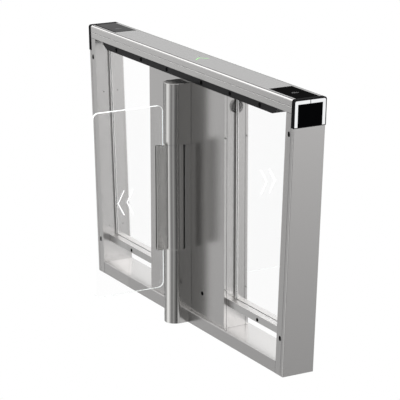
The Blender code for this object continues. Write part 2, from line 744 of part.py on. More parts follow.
def build_bays():
    """Rail, pane and the two edge channels of each window bay."""
    low = CABINET_REACH + GAP
    corners = [(low, RAIL_FOOT), (post_inner(RAIL_FOOT) - GAP, RAIL_FOOT),
               (post_inner(RAIL_TOP) - GAP, RAIL_TOP), (low, RAIL_TOP)]
    rail = solid_between("right_rail", along_y(corners, -RAIL_HALF), along_y(corners, RAIL_HALF))
    slot_foot = RAIL_TOP - RAIL_SLOT_DEPTH
    slot = box("slot", (low - OVERRUN, -PANE_SLOT_HALF, slot_foot),
               (end_outer(RAIL_TOP), PANE_SLOT_HALF, RAIL_TOP + OVERRUN))
    carve(rail, slot)
    lens = circle((CABINET_REACH + RAIL_LENS_OFFSET, RAIL_FOOT + RAIL_LENS_RISE), RAIL_LENS_RADIUS, LENS_SIDES)
    carve(rail, many_plugs("lens_cut", [lens], cut_planes(RAIL_HALF, LENS_DEPTH)))
    pair(rail, ("right_rail", "left_rail"), STEEL)

    play = CHANNEL_WALL + GAP
    strip_reach = STRIP_HALF_LENGTH - STRIP_END_RUN
    groove = STRIP_FOOT + STRIP_GROOVE_DEPTH - GAP
    groove_reach = strip_reach + STRIP_END_RUN * STRIP_GROOVE_DEPTH / STRIP_HEIGHT
    head = BEAM_FOOT - GAP
    outer_foot = post_inner(slot_foot + GAP) - play
    outer_head = post_inner(head) - play
    corners = [(low + play, slot_foot + GAP), (outer_foot, slot_foot + GAP), (outer_head, head),
               (STRIP_HALF_LENGTH + PANE_PLAY, head), (groove_reach + PANE_PLAY, groove), (low + play, groove)]
    pane = solid_between("right_window", along_y(corners, -PANE_HALF), along_y(corners, PANE_HALF))
    pair(pane, ("right_window", "left_window"), CLEAR)


def channel_profile(start, direction):
    """An (x, y) U section on a wall at start that opens towards the pane."""
    half = CHANNEL_WIDTH / 2
    back = start + direction * (CHANNEL_WALL + CHANNEL_ROOT)
    tip = start + direction * (CHANNEL_REACH + CHANNEL_ROOT)
    return [(start, -half), (tip, -half), (tip, -PANE_SLOT_HALF), (back, -PANE_SLOT_HALF),
            (back, PANE_SLOT_HALF), (tip, PANE_SLOT_HALF), (tip, half), (start, half)]


def drum_outline(radius, back):
    """A D-shaped (x, y) outline about the axis: round towards -Y, straight to the back."""
    points = arc((0, 0), radius, -math.pi, 0, DRUM_SIDES // 2)
    return points + [(radius, back), (-radius, back)]


def build_column():
    """Fixed pieces of the near column, drawn about its axis, and their far twins."""
    back = COLUMN_STANDOFF - GAP
    notch = AXIS_OFFSET - BODY_HALF - GAP
    lower = column_shell(FOOT_CLEARANCE, LOWER_TOP, back, LOWER_TOP - BEARING_PLATE)
    foot_cut = box("foot_cut", (-DRUM_RADIUS - OVERRUN, notch, 0),
                   (DRUM_RADIUS + OVERRUN, back + OVERRUN, BASE_HEIGHT + GAP))
    carve(lower, foot_cut)
    upper = column_shell(UPPER_FOOT, UPPER_TOP, back, UPPER_FOOT + BEARING_PLATE)
    guard_foot = LOWER_TOP + GAP
    guard_head = UPPER_FOOT - GAP
    guard = column_guard(guard_foot, guard_head, back)
    motor = column_motor()
    pin = pivot_pin()
    foot = bearing_foot()
    bearing = turned("bearing", ring_profile(SHAFT_RADIUS + GAP, BEARING_RADIUS, foot, foot + BEARING_WIDTH),
                     SMALL_SIDES)
    names = (("near_lower_housing", "far_lower_housing"), ("near_upper_housing", "far_upper_housing"),
             ("near_rear_guard", "far_rear_guard"), ("near_motor", "far_motor"),
             ("near_pivot_pin", "far_pivot_pin"), ("near_pivot_bearing", "far_pivot_bearing"))
    finishes = (STEEL, STEEL, STEEL, MOTOR_GREY, BRIGHT_STEEL, BRIGHT_STEEL)
    for piece, labels, finish in zip((lower, upper, guard, motor, pin, bearing), names, finishes):
        piece.data.transform(Matrix.Translation((0, -AXIS_OFFSET, 0)))
        pair(smooth(piece), labels, finish)


def column_shell(foot, head, back, plate_edge):
    """A D-shaped shell, open at the back, with a bearing plate and an end that is closed if it shows."""
    shell = solid_between("shell", along_z(drum_outline(DRUM_RADIUS, back), foot),
                          along_z(drum_outline(DRUM_RADIUS, back), head))
    soften(shell, EDGE_BREAK)
    hollow = drum_outline(DRUM_RADIUS - HOUSING_WALL, back + OVERRUN)
    plate_above = plate_edge - foot > head - plate_edge
    low = foot - OVERRUN if plate_above else plate_edge
    high = plate_edge if plate_above else head - HOUSING_WALL
    carve(shell, solid_between("hollow", along_z(hollow, low), along_z(hollow, high)))
    bore = circle((0, 0), SHAFT_RADIUS + GAP, SMALL_SIDES)
    return carve(shell, solid_between("bore", along_z(bore, plate_edge - BEARING_PLATE - OVERRUN),
                                      along_z(bore, plate_edge + BEARING_PLATE + OVERRUN)))


def column_guard(foot, head, back):
    """Fixed block behind the sleeve, with a hollow front that clears it."""
    radius = DRUM_RADIUS + GUARD_CLEARANCE
    front = back - GUARD_DEPTH
    lip = math.acos(front / radius)
    quarter = math.pi / 2
    hollow = arc((0, 0), radius, quarter - lip, quarter + lip, DRUM_SIDES // 4)
    points = [(DRUM_RADIUS, back), (DRUM_RADIUS, front)] + hollow + [(-DRUM_RADIUS, front), (-DRUM_RADIUS, back)]
    return solid_between("guard", along_z(points, foot), along_z(points, head))


def column_motor():
    """Motor, gearbox and flange under the lower bearing plate, with a blind output bore."""
    head = LOWER_TOP - BEARING_PLATE - GAP
    flange = head - MOTOR_FLANGE
    gearbox = flange - GEARBOX_LENGTH
    foot = gearbox - MOTOR_LENGTH
    bore = SHAFT_RADIUS + GAP
    bore_foot = shaft_foot() - GAP
    profile = [(0, foot), (MOTOR_RADIUS, foot), (MOTOR_RADIUS, gearbox), (GEARBOX_RADIUS, gearbox),
               (GEARBOX_RADIUS, flange), (MOTOR_FLANGE_RADIUS, flange), (MOTOR_FLANGE_RADIUS, head),
               (bore, head), (bore, bore_foot), (0, bore_foot)]
    return turned("motor", profile, SMALL_SIDES)


def shaft_foot():
    """Lowest point of the drive shaft, inside the gearbox."""
    return LOWER_TOP - BEARING_PLATE - GAP - SHAFT_INTO_MOTOR


def bearing_foot():
    """Lowest point of the pivot bearing, inside the sleeve's upper web."""
    return SLEEVE_TOP - WEB_INSET - BEARING_WIDTH


def pivot_pin():
    """Headed pin that hangs from the upper bearing plate into the sleeve."""
    seat = UPPER_FOOT + BEARING_PLATE + GAP
    foot = bearing_foot()
    profile = [(0, foot), (SHAFT_RADIUS, foot), (SHAFT_RADIUS, seat), (PIN_HEAD_RADIUS, seat),
               (PIN_HEAD_RADIUS, seat + PIN_HEAD), (0, seat + PIN_HEAD)]
    return turned("pin", profile, SMALL_SIDES)


def ring_profile(inner, outer, foot, head):
    """The (radius, z) section of a plain ring."""
    return [(inner, foot), (outer, foot), (outer, head), (inner, head)]


def build_wing():
    """Turning pieces of both wings, each hung on an empty on its axis."""
    sleeve = wing_sleeve()
    plate = clamp_plate()
    leaf = wing_leaf()
    shaft = wing_shaft()
    pieces = ((sleeve, "sleeve", STEEL), (plate, "clamp_plate", STEEL),
              (leaf, "leaf", CLEAR), (shaft, "drive_shaft", BRIGHT_STEEL))
    for side, turn, y in (("near", 0, -AXIS_OFFSET), ("far", HALF_TURN, AXIS_OFFSET)):
        axis = bpy.data.objects.new(side + "_wing_axis", None)
        bpy.context.scene.collection.objects.link(axis)
        axis.location = (0, y, 0)
        axis.rotation_euler.z = turn
        for shape, label, finish in pieces:
            piece = bpy.data.objects.new(side + "_" + label, shape.data)
            bpy.context.scene.collection.objects.link(piece)
            piece.parent = axis
            paint(piece, finish)
    for shape, label, finish in pieces:
        bpy.data.objects.remove(shape, do_unlink=True)


def wing_sleeve():
    """Tube with a web at each end and a fin that carries the leaf."""
    bore = DRUM_RADIUS - SLEEVE_WALL
    low = SLEEVE_FOOT + WEB_INSET
    high = SLEEVE_TOP - WEB_INSET
    shaft = SHAFT_RADIUS + GAP
    seat = BEARING_RADIUS + GAP
    profile = [(DRUM_RADIUS, SLEEVE_FOOT), (DRUM_RADIUS, SLEEVE_TOP), (bore, SLEEVE_TOP), (bore, high),
               (seat, high), (seat, high - WEB_THICKNESS), (bore, high - WEB_THICKNESS),
               (bore, low + WEB_THICKNESS), (shaft, low + WEB_THICKNESS), (shaft, low),
               (bore, low), (bore, SLEEVE_FOOT)]
    sleeve = turned("sleeve", profile, DRUM_SIDES)
    half = LEAF_THICKNESS / 2
    fin_end = GAP - DRUM_RADIUS - LEAF_SETBACK
    root = SLEEVE_WALL / 2 - DRUM_RADIUS
    face = half + GAP
    flared = face + CLAMP_PLATE + CLAMP_FLARE
    profile = [(half, root), (half, fin_end), (-face, fin_end), (-face, clamp_end()),
               (-face - CLAMP_PLATE, clamp_end()), (-flared, -math.sqrt(root * root - flared * flared))]
    jaw = solid_between("jaw", along_z(profile, SLEEVE_FOOT), along_z(profile, SLEEVE_TOP))
    return smooth(carve(sleeve, jaw, "UNION"))


def clamp_end():
    """How far the clamp reaches from the axis towards the leaf, along -Y."""
    return -DRUM_RADIUS - LEAF_SETBACK - CLAMP_REACH


def clamp_plate():
    """Removable plate that grips the fin and the leaf against the fixed jaw, hollowed to sit on the sleeve."""
    inner = LEAF_THICKNESS / 2 + GAP
    flared = inner + CLAMP_PLATE + CLAMP_FLARE
    seat = DRUM_RADIUS + GAP
    back = -math.sqrt(seat * seat - flared * flared)
    front = clamp_end()
    profile = [(inner, front), (inner + CLAMP_PLATE, front), (flared, back), (inner, back)]
    plate = solid_between("plate", along_z(profile, SLEEVE_FOOT), along_z(profile, SLEEVE_TOP))
    soften(plate, CLAMP_EDGE_BREAK)
    round_seat = circle((0, 0), seat, DRUM_SIDES)
    return carve(plate, solid_between("seat", along_z(round_seat, SLEEVE_FOOT - OVERRUN),
                                      along_z(round_seat, SLEEVE_TOP + OVERRUN)))


def wing_leaf():
    """Glass leaf with round corners, edge on to the column."""
    start = -DRUM_RADIUS - LEAF_SETBACK
    outline = rounded_rectangle(start - LEAF_LENGTH, SLEEVE_FOOT - LEAF_BELOW_CLAMP, start,
                                SLEEVE_TOP + LEAF_ABOVE_CLAMP, LEAF_CORNER_RADIUS)
    half = LEAF_THICKNESS / 2
    leaf = solid_between("leaf", along_x(outline, lambda z: -half), along_x(outline, lambda z: half))
    return smooth(leaf)


def wing_shaft():
    """Drive shaft from the gearbox up through the sleeve's lower web."""
    head = SLEEVE_FOOT + SHAFT_INTO_SLEEVE
    profile = [(0, shaft_foot()), (SHAFT_RADIUS, shaft_foot()), (SHAFT_RADIUS, head), (0, head)]
    return smooth(turned("shaft", profile, SMALL_SIDES))


def build_electronics():
    """Control board on the left wall and power supply on the right wall."""
    wall = CABINET_REACH - CABINET_SHEET - GAP
    face = BOARD_STANDOFF - wall
    half = BOARD_LENGTH / 2
    board = box("control_board", (face, -half, BOARD_BASE),
                (face + BOARD_THICKNESS, half, BOARD_BASE + BOARD_HEIGHT))
    edge = half - BOARD_POST_EDGE
    for y in (-edge, edge):
        for z in (BOARD_BASE + BOARD_POST_EDGE, BOARD_BASE + BOARD_HEIGHT - BOARD_POST_EDGE):
            profile = circle((y, z), BOARD_POST_RADIUS, LENS_SIDES)
            post = solid_between("post", along_x(profile, lambda level: -wall),
                                 along_x(profile, lambda level: face + BOARD_THICKNESS / 2))
            carve(board, post, "UNION")
    inner = face + BOARD_THICKNESS
    for index in range(BOARD_BLOCKS):
        z = BOARD_BASE + BOARD_HEIGHT / 2 + (index - (BOARD_BLOCKS - 1) / 2) * BOARD_BLOCK_PITCH
        block = box("block", (inner - BOARD_THICKNESS / 2, -BOARD_BLOCK, z - BOARD_BLOCK / 2),
                    (inner + BOARD_BLOCK, BOARD_BLOCK, z + BOARD_BLOCK / 2))
        carve(board, block, "UNION")
    paint(board, BOARD_GREEN)

    supply = box("power_supply", (wall - SUPPLY_DEPTH, -SUPPLY_WIDTH / 2, SUPPLY_BASE),
                 (wall, SUPPLY_WIDTH / 2, SUPPLY_BASE + SUPPLY_HEIGHT))
    paint(supply, INNER_STEEL)


def main():
    clear_scene()
    build_base()
    build_posts()
    build_strip()
    build_top()
    build_readers()
    build_caps()
    build_cabinet()
    build_bays()
    build_column()
    build_wing()
    build_electronics()


main()
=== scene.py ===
import json
import math

import bmesh
import bpy
import numpy as np
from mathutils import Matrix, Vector


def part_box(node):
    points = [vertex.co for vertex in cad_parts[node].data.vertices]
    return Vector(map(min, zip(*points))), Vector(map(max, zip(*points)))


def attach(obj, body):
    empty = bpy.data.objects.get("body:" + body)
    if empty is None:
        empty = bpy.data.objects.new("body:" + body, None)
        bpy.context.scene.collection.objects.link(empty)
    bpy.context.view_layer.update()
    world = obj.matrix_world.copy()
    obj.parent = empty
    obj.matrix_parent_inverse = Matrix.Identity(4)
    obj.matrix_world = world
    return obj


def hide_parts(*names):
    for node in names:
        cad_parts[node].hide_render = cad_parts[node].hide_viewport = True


bl_info = {
    "name": "Glass Leaf Turnstile Dressing",
    "version": (1, 0, 0),
    "blender": (4, 5, 0),
    "location": "3D View > Sidebar > Turnstile",
    "description": "Finishes, glass, lenses, marks, screws and studio for a slim swing-leaf turnstile",
    "category": "Object",
}

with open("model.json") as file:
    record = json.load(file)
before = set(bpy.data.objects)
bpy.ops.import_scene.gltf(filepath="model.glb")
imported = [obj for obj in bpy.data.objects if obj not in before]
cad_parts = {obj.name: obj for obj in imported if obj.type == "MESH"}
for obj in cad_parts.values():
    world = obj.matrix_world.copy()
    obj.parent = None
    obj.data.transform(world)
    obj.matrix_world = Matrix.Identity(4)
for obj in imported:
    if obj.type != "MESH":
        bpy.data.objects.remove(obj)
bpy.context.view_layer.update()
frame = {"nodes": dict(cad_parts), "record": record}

PEDESTAL = "pedestal"
WINGS = {"near": "near_wing", "far": "far_wing"}
SIDES = {"near": -1.0, "far": 1.0}
HANDS = {"left": -1.0, "right": 1.0}
UP = (0.0, 0.0, 1.0)

# Camera read from the photograph's straight edges, in metres
CAMERA_PLACE = (6.4435, -3.6209, 2.5359)
CAMERA_FORWARD = (-0.8389, 0.4725, -0.2703)
CAMERA_LENS_MM = 184.67
SENSOR_MM = 36.0
CAMERA_REACH = 200.0

# Key light, in metres
KEY_PLACE = (1.5, -3.5, 3.5)
KEY_AIM = (0.0, 0.0, 0.5)
KEY_SIZE = (3.0, 2.0)

# Brightness that a full ramp colour stands for
TONE_SCALE = 4.0
# Studio walls by compass bearing in degrees from +X: brightness just below eye level, then further down
WALL_TONES = ((-180, 0.12, 0.12), (-170, 0.14, 0.14), (-162, 0.26, 0.20), (-157, 0.86, 0.44),
              (-152, 1.02, 0.60), (-146.5, 0.54, 0.60), (-142, 0.12, 0.55), (-135, 0.42, 0.80),
              (-124, 1.05, 1.25), (-109, 1.34, 1.90), (-96, 1.32, 1.45), (-83, 0.78, 0.80),
              (-72, 0.46, 0.46), (-60, 0.26, 0.26), (-49, 0.48, 0.48), (-38, 0.60, 0.60),
              (-29, 0.24, 0.24), (-22, 0.30, 0.30), (-15, 0.10, 0.10), (-6, 0.10, 0.10), (1, 0.20, 0.20),
              (7, 0.85, 0.80), (14, 0.95, 0.85), (21, 0.66, 0.55), (29, 1.20, 0.40), (60, 1.00, 0.45),
              (110, 0.80, 0.60), (150, 0.70, 0.60), (160, 1.00, 0.90), (172, 1.00, 0.90),
              (178, 0.20, 0.20), (180, 0.12, 0.12))
# Brightness above eye level, by the sine of the height
SKY_TONES = ((0.0, 0.95), (0.12, 0.84), (0.21, 0.86), (0.27, 0.82), (0.31, 0.60), (0.35, 1.50), (0.40, 2.10),
             (0.48, 2.10), (0.62, 1.5), (1.0, 1.0))
# How much brighter the sky is over a bearing
SKY_SHARES = ((-180, 1.0), (-20, 1.0), (8, 1.9), (52, 1.9), (80, 1.0), (180, 1.0))
# Sines of the heights between which the low walls pass into the walls, and the walls into the sky
LOW_WALL_BAND = (-0.46, -0.22)
EYE_LEVEL_BAND = (-0.10, 0.06)

# Points across the half ellipse of a bead or a seal, round a turned piece, and up a dome or a lens
BEAD_STEPS = 7
SEAL_STEPS = 9
TURN_STEPS = 24
SMALL_TURN_STEPS = 16
DOME_STEPS = 8
LENS_STEPS = 6
# Radius of a dome's last ring, as a share of its foot
POLE_SHARE = 0.02
# Points nearer than this become one, in new meshes and in copies of nodes
NEW_WELD = 0.00001
COPY_WELD = 0.000002
SHARP_ANGLE = math.radians(38)
FOLD_ANGLE = math.radians(50)
# Faces that look less than this along a leaf's thickness are its ground edge
FLAT_COSINE = 0.99

# Places of small pieces, in metres from the middle or above the floor
STRIP_LENS_START = 0.1308
STRIP_LENS_PITCH = 0.205
STRIP_LENS_COUNT = 3
CABINET_LENS_REACH = 0.1236
CABINET_LENS_LEVEL = 0.137
RAIL_LENS_REACH = 0.4875
RAIL_LENS_LEVEL = 0.139
WALL_SCREW_INSET = 0.006
WALL_SCREW_OFFSET = 0.0462
WALL_SCREW_LEVELS = (0.195, 0.765)
POST_SCREW_OFFSET = 0.0335
POST_SCREW_LEVELS = (0.195, 0.742)
SEAM_FOOT = 0.001
# How deep the wall of a turned piece reaches into its carrier
PIECE_SINK = 0.0002
# Room left at a bead's ends, and between a bead and its pane
BEAD_END_GAP = 0.001
BEAD_PANE_GAP = 0.0005

# Turns of the rings that round an oval cover's edge, in radians, and the play between its round corners
OVAL_TURNS = (0.0, 0.3, 0.6, 0.9, 1.15, 1.35)
OVAL_PLAY = 0.00001
# Lens section: inner and outer radius of the bezel, its wall, and foot and height of the dome inside it
BEZEL_INNER_SHARE = 0.74
BEZEL_OUTER_SHARE = 0.95
BEZEL_WALL_SHARE = 0.7
LENS_FOOT_SHARE = 0.35
LENS_DOME_SHARE = 0.45
# Holes in the grille's first ring, the gauze's radius in the next two as a share of the outer one's,
# and the radius and the rise of its shoulder
GRILLE_RING_HOLES = 8
GAUZE_RING_SHARES = {2: 0.65, 3: 1.0}
GAUZE_SHOULDER_SHARES = (0.6, 0.8)
# Arcs of the mark on a reader, and how far their centre lies inward of the reader's
WAVE_RADII = (0.009, 0.015, 0.021)
WAVE_HALF_TURN = 0.75
WAVE_STEPS = 13
WAVE_SHIFT = 0.01


def size(name, description, default, unit="LENGTH"):
    """A number that a user can change, in metres unless its unit says otherwise."""
    return bpy.props.FloatProperty(name=name, description=description, default=default, unit=unit)


def paint(name, description, default):
    """A colour that a user can change."""
    return bpy.props.FloatVectorProperty(name=name, description=description, default=default,
                                         subtype="COLOR", size=3, min=0.0, max=1.0)


class StudioSizes(bpy.types.PropertyGroup):
    """Sizes and strengths of the studio round the turnstile."""
    floor_size: size("Floor size", "Side of the square floor", 60.0)
    floor_glow: bpy.props.FloatProperty(
        name="Floor glow", description="How far the floor shows its own white instead of shadow", default=1.0,
        subtype="FACTOR", min=0.0, max=1.0)
    room_power: size("Room light", "Brightness of the studio round the part", 1.0, "NONE")
    key_power: size("Key light", "Power of the large soft light", 8.0, "POWER")


class SteelColours(bpy.types.PropertyGroup):
    """Colours of the metal, the lights and the dark parts."""
    sheet: paint("Brushed sheet", "Base colour of the brushed sheet", (0.522, 0.514, 0.508))
    beam: paint("Top beam", "Base colour of the top beam", (0.585, 0.577, 0.57))
    rail: paint("Rails", "Base colour of the rails under the panes", (0.60, 0.592, 0.585))
    cover: paint("Top cover", "Base colour of the cover on the top beam", (0.342, 0.338, 0.334))
    drum: paint("Drum", "Base colour of the column", (0.50, 0.495, 0.485))
    dark: paint("Dark plastic", "Colour of the caps", (0.0075, 0.0075, 0.008))
    strip: paint("Strip coat", "Colour of the sensor strip", (0.013, 0.013, 0.0135))
    seal: paint("Seals", "Colour of the column's seals", (0.17, 0.17, 0.168))
    green: paint("Green light", "Colour of the lit direction mark", (0.24, 0.58, 0.19))
    mark: paint("Leaf mark", "Colour of the marks printed on the leaves", (0.95, 0.95, 0.95))


class TrimSizes(bpy.types.PropertyGroup):
    """Sizes of the small pieces that the solids leave out."""
    edge: size("Folded edge", "Radius of the base beam's folded edges", 0.0013)
    fine_edge: size("Fine edge", "Radius of a machined edge", 0.0005)
    leaf_corner: size("Leaf corner", "Radius of a leaf's corners", 0.023)
    leaf_break: size("Leaf break", "Width of the ground edge of a leaf", 0.0008)
    mark_height: size("Mark height", "Height of an arrow mark on a leaf", 0.094)
    mark_run: size("Mark run", "How far a mark's arms run back from its tip", 0.025)
    mark_stroke: size("Mark stroke", "Width of a mark's line", 0.0038)
    mark_film: size("Mark film", "Thickness of the printed mark", 0.0002)
    mark_level: size("Mark level", "Height of the marks above the floor", 0.4945)
    mark_outer: size("Outer tip", "Distance of the outer mark's tip from the middle", 0.338)
    mark_inner: size("Inner tip", "Distance of the inner mark's tip from the middle", 0.301)
    wave_stroke: size("Wave stroke", "Width of a line of a reader's mark", 0.0022)
    wave_film: size("Wave film", "Thickness of a reader's mark", 0.00012)
    screw_radius: size("Screw radius", "Radius of a cover screw's head", 0.0029)
    screw_rise: size("Screw rise", "Height of a cover screw's head", 0.0012)
    lens_radius: size("Lens radius", "Radius of a round sensor lens with its bezel", 0.0078)
    rail_lens_radius: size("Rail lens radius", "Radius of a rail's lens with its bezel", 0.0070)
    lens_rise: size("Lens rise", "How far a lens and its bezel stand out", 0.0009)
    oval_border: size("Oval border", "How far an oval cover laps over its sensor", 0.0012)
    oval_edge: size("Oval edge", "Width of an oval cover's rounded edge", 0.002)
    seam_width: size("Seam width", "Width of a joint line between sheets", 0.0012)
    seam_rise: size("Seam rise", "How far a joint line stands out", 0.00025)
    beam_seam: size("Beam seam", "Height of the seam along the top beam", 0.9762)
    cover_seam: size("Cover seam", "Width of the line beside the top cover", 0.0030)
    lip_highlight_width: size("Painted lip highlight", "Width of the bead beside a pane", 0.0023)
    channel_reach: size("Channel reach", "How far a glazing channel stands out of its post", 0.009)
    guide_break: size("Guide break", "Width of the dark break in a light guide", 0.0026)
    cap_lean: size("Cap lean", "How far a cap's face leans out for each metre of height", 0.043, "NONE")
    # Width of the painted shade along the left reader's thick glass edge
    reader_shade_rim: size("Reader rim", "Width of the dark edge of the left reader", 0.006)
    end_reach: size("End reach", "Distance of the ends from the middle at the floor", 0.715)
    end_lean: size("End lean", "How far an end leans out for each metre of height", 0.058, "NONE")
    end_return: size("End return", "Width of an end cover's folded side", 0.017)
    post_width: size("Post width", "Width of a post seen from the passage", 0.051)
    grille_pitch: size("Grille pitch", "Distance between the rings of the grille's holes", 0.0077)
    gauze_radius: size("Gauze radius", "Radius of the gauze in the outer holes", 0.0025)
    gauze_rise: size("Gauze rise", "How far the gauze bulges in a hole", 0.0002)
    gauze_sink: size("Gauze sink", "How far the gauze lies behind the wall's face", 0.0003)
    gauze_gap: size("Gauze gap", "Half the width that the glazing channel covers", 0.0098)
    seal_width: size("Seal width", "Width of the seal beside the turning sleeve", 0.0080)
    seal_inset: size("Seal inset", "Distance of a seal from the guard's outer edge", 0.0002)
    seal_rise: size("Seal rise", "How far a seal stands out", 0.0004)


def sizes():
    """The trim sizes of the scene."""
    return bpy.context.scene.turnstile_trim


def colours():
    """The colours of the scene."""
    return bpy.context.scene.turnstile_colours


# Meshes from arrays

def mesh_from_arrays(name, points, faces):
    """A mesh piece from an (n, 3) array of points and a list of faces."""
    mesh = bpy.data.meshes.new(name)
    mesh.from_pydata(points.tolist(), [], faces)
    bm = bmesh.new()
    bm.from_mesh(mesh)
    bmesh.ops.remove_doubles(bm, verts=bm.verts, dist=NEW_WELD)
    bmesh.ops.recalc_face_normals(bm, faces=bm.faces)
    bm.to_mesh(mesh)
    bm.free()
    obj = bpy.data.objects.new(name, mesh)
    bpy.context.scene.collection.objects.link(obj)
    return obj


def ringed(name, *blocks):
    """Closed pieces in one mesh, each an array of rings (rows, columns, 3) with its end rings filled."""
    faces = []
    start = 0
    for rings in blocks:
        rows, columns = rings.shape[:2]
        index = start + np.arange(rows * columns).reshape(rows, columns)
        after = np.roll(index, -1, axis=1)
        faces += np.stack([index[:-1], after[:-1], after[1:], index[1:]], axis=-1).reshape(-1, 4).tolist()
        faces += [index[0].tolist(), index[-1].tolist()]
        start += rows * columns
    return mesh_from_arrays(name, np.concatenate([rings.reshape(-1, 3) for rings in blocks]), faces)


def turned_rings(profile, centre, axis, steps):
    """Rings round a level axis: point(u, v) = centre + r(u) (cos v across + sin v up) + h(u) axis."""
    angle = np.arange(steps)[:, None] * 2 * np.pi / steps
    circle = np.cos(angle) * np.cross(UP, axis) + np.sin(angle) * UP
    return np.asarray(centre) + profile[:, :1, None] * circle + profile[:, 1:, None] * np.asarray(axis)


def many_turned(name, profile, centres, axis, steps=TURN_STEPS):
    """The same turned piece at several centres, in one mesh."""
    return ringed(name, *[turned_rings(profile, centre, axis, steps) for centre in centres])


def dome_profile(radius, rise, sink):
    """Half section of a domed head: a short wall, then a quarter ellipse up to the pole."""
    angle = np.linspace(0.0, np.pi / 2, DOME_STEPS)
    dome = np.stack([radius * np.cos(angle), rise * np.sin(angle)], axis=1)
    dome[-1, 0] = radius * POLE_SHARE
    return np.concatenate([[[radius, -sink]], dome])


def bezel_profile(radius, rise, sink):
    """Half section of a lens in its bezel: a wall, a narrow flat rim, a step down and a shallow dome."""
    angle = np.linspace(0.0, np.pi / 2, LENS_STEPS)
    inner = radius * BEZEL_INNER_SHARE
    height = rise * (LENS_FOOT_SHARE + LENS_DOME_SHARE * np.sin(angle))
    dome = np.stack([inner * np.cos(angle), height], axis=1)
    dome[-1, 0] = radius * POLE_SHARE
    wall = [[radius, -sink], [radius, rise * BEZEL_WALL_SHARE]]
    rim = [[radius * BEZEL_OUTER_SHARE, rise], [inner, rise]]
    return np.concatenate([wall, rim, dome])


def stroke_edges(path, width):
    """Left and right edges of a mitred line: each path point moved along its mitre by half the width."""
    path = np.asarray(path, float)
    steps = np.diff(path, axis=0)
    steps /= np.linalg.norm(steps, axis=1)[:, None]
    normals = np.stack([-steps[:, 1], steps[:, 0]], axis=1)
    before = np.concatenate([normals[:1], normals])
    after = np.concatenate([normals, normals[-1:]])
    mitre = before + after
    mitre /= np.linalg.norm(mitre, axis=1)[:, None]
    reach = width / 2 / np.sum(mitre * after, axis=1)
    offset = mitre * reach[:, None]
    return path + offset, path - offset


def flat_stroke(name, path, width, lift, low, high):
    """A thin raised line: a rectangle section carried along a flat path, placed in space by lift."""
    left, right = stroke_edges(path, width)
    corners = np.stack([left, right, right, left], axis=1)
    levels = np.broadcast_to([low, low, high, high], corners.shape[:2])
    return ringed(name, np.stack(lift(corners[..., 0], corners[..., 1], levels), axis=-1))


def many_beads(name, runs, width, rise, steps=BEAD_STEPS):
    """Beads in one mesh: point(s, v) = start + s along + w/2 cos v across + h sin v outward, v up to pi."""
    angle = np.linspace(0.0, np.pi, steps)[:, None]
    blocks = []
    for run in runs:
        start, end, outward = np.asarray(run, float)
        along = (end - start) / np.linalg.norm(end - start)
        across = np.cross(along, outward)
        section = width / 2 * np.cos(angle) * across + rise * np.sin(angle) * outward
        blocks.append(np.stack([start + section, end + section]))
    return ringed(name, *blocks)


def rounded_loop(low_u, low_v, high_u, high_v, radius, steps=10):
    """Points round a rectangle with quarter-circle corners, as an array."""
    centres = np.array([[low_u + radius, low_v + radius], [high_u - radius, low_v + radius],
                        [high_u - radius, high_v - radius], [low_u + radius, high_v - radius]])
    start = np.pi + np.arange(4) * np.pi / 2
    angle = start[:, None] + np.linspace(0, np.pi / 2, steps)[None, :]
    loop = centres[:, None, :] + radius * np.stack([np.cos(angle), np.sin(angle)], axis=-1)
    return loop.reshape(-1, 2)


# Materials

class Tree:
    """Short-hand for building a node tree."""

    def __init__(self, tree):
        self.nodes = tree.nodes
        self.links = tree.links

    def put(self, socket, value):
        """Link an input to another node's output, or give it a plain value."""
        if isinstance(value, bpy.types.NodeSocket):
            self.links.new(value, socket)
        else:
            socket.default_value = value

    def add(self, kind, inputs, **settings):
        """A new node with its settings and its inputs."""
        node = self.nodes.new(kind)
        for key, value in settings.items():
            setattr(node, key, value)
        for key, value in inputs.items():
            self.put(node.inputs[key], value)
        return node

    def times(self, first, second):
        """The product of two values."""
        return self.add("ShaderNodeMath", {0: first, 1: second}, operation="MULTIPLY").outputs[0]

    def fit(self, source, low, high, low_value=0.0, high_value=1.0, way="LINEAR"):
        """Map a range of a value onto another range."""
        inputs = {"Value": source, "From Min": low, "From Max": high,
                  "To Min": low_value, "To Max": high_value}
        return self.add("ShaderNodeMapRange", inputs, interpolation_type=way).outputs["Result"]

    def between(self, factor, first, second):
        """A value between two values."""
        return self.add("ShaderNodeMix", {"Factor": factor, "A": first, "B": second}).outputs["Result"]


class Finish(Tree):
    """A material whose shader is fed by a node tree."""

    def __init__(self, name):
        self.material = bpy.data.materials.new(name)
        self.material.use_nodes = True
        super().__init__(self.material.node_tree)
        self.shader = self.nodes["Principled BSDF"]

    def feed(self, **values):
        """Plain values and outputs for the shader's own sockets, whose names have _ for a space."""
        for key, value in values.items():
            self.put(self.shader.inputs[key.replace("_", " ")], value)

    def noise(self, scale, detail, stretch=(1.0, 1.0, 1.0)):
        """Noise on object coordinates, stretched along an axis."""
        where = self.add("ShaderNodeTexCoord", {}).outputs["Object"]
        mapping = self.add("ShaderNodeMapping", {"Vector": where, "Scale": stretch}).outputs["Vector"]
        inputs = {"Vector": mapping, "Scale": scale, "Detail": detail}
        return self.add("ShaderNodeTexNoise", inputs).outputs["Fac"]

    def tint(self, factor, first, second):
        """A colour between two colours."""
        inputs = {"Factor": factor, "A": (*first, 1.0), "B": (*second, 1.0)}
        return self.add("ShaderNodeMix", inputs, data_type="RGBA").outputs["Result"]

    def bump(self, height, distance, strength):
        """A bump that follows a value."""
        inputs = {"Height": height, "Distance": distance, "Strength": strength}
        self.feed(Normal=self.add("ShaderNodeBump", inputs).outputs["Normal"])


# Stretch of the noise that draws brushed lines along each axis
GRAIN = {"x": (1.0, 60.0, 60.0), "y": (60.0, 1.0, 60.0), "z": (60.0, 60.0, 1.0)}
# Where most values of a noise lie
NOISE_BAND = (0.3, 0.7)
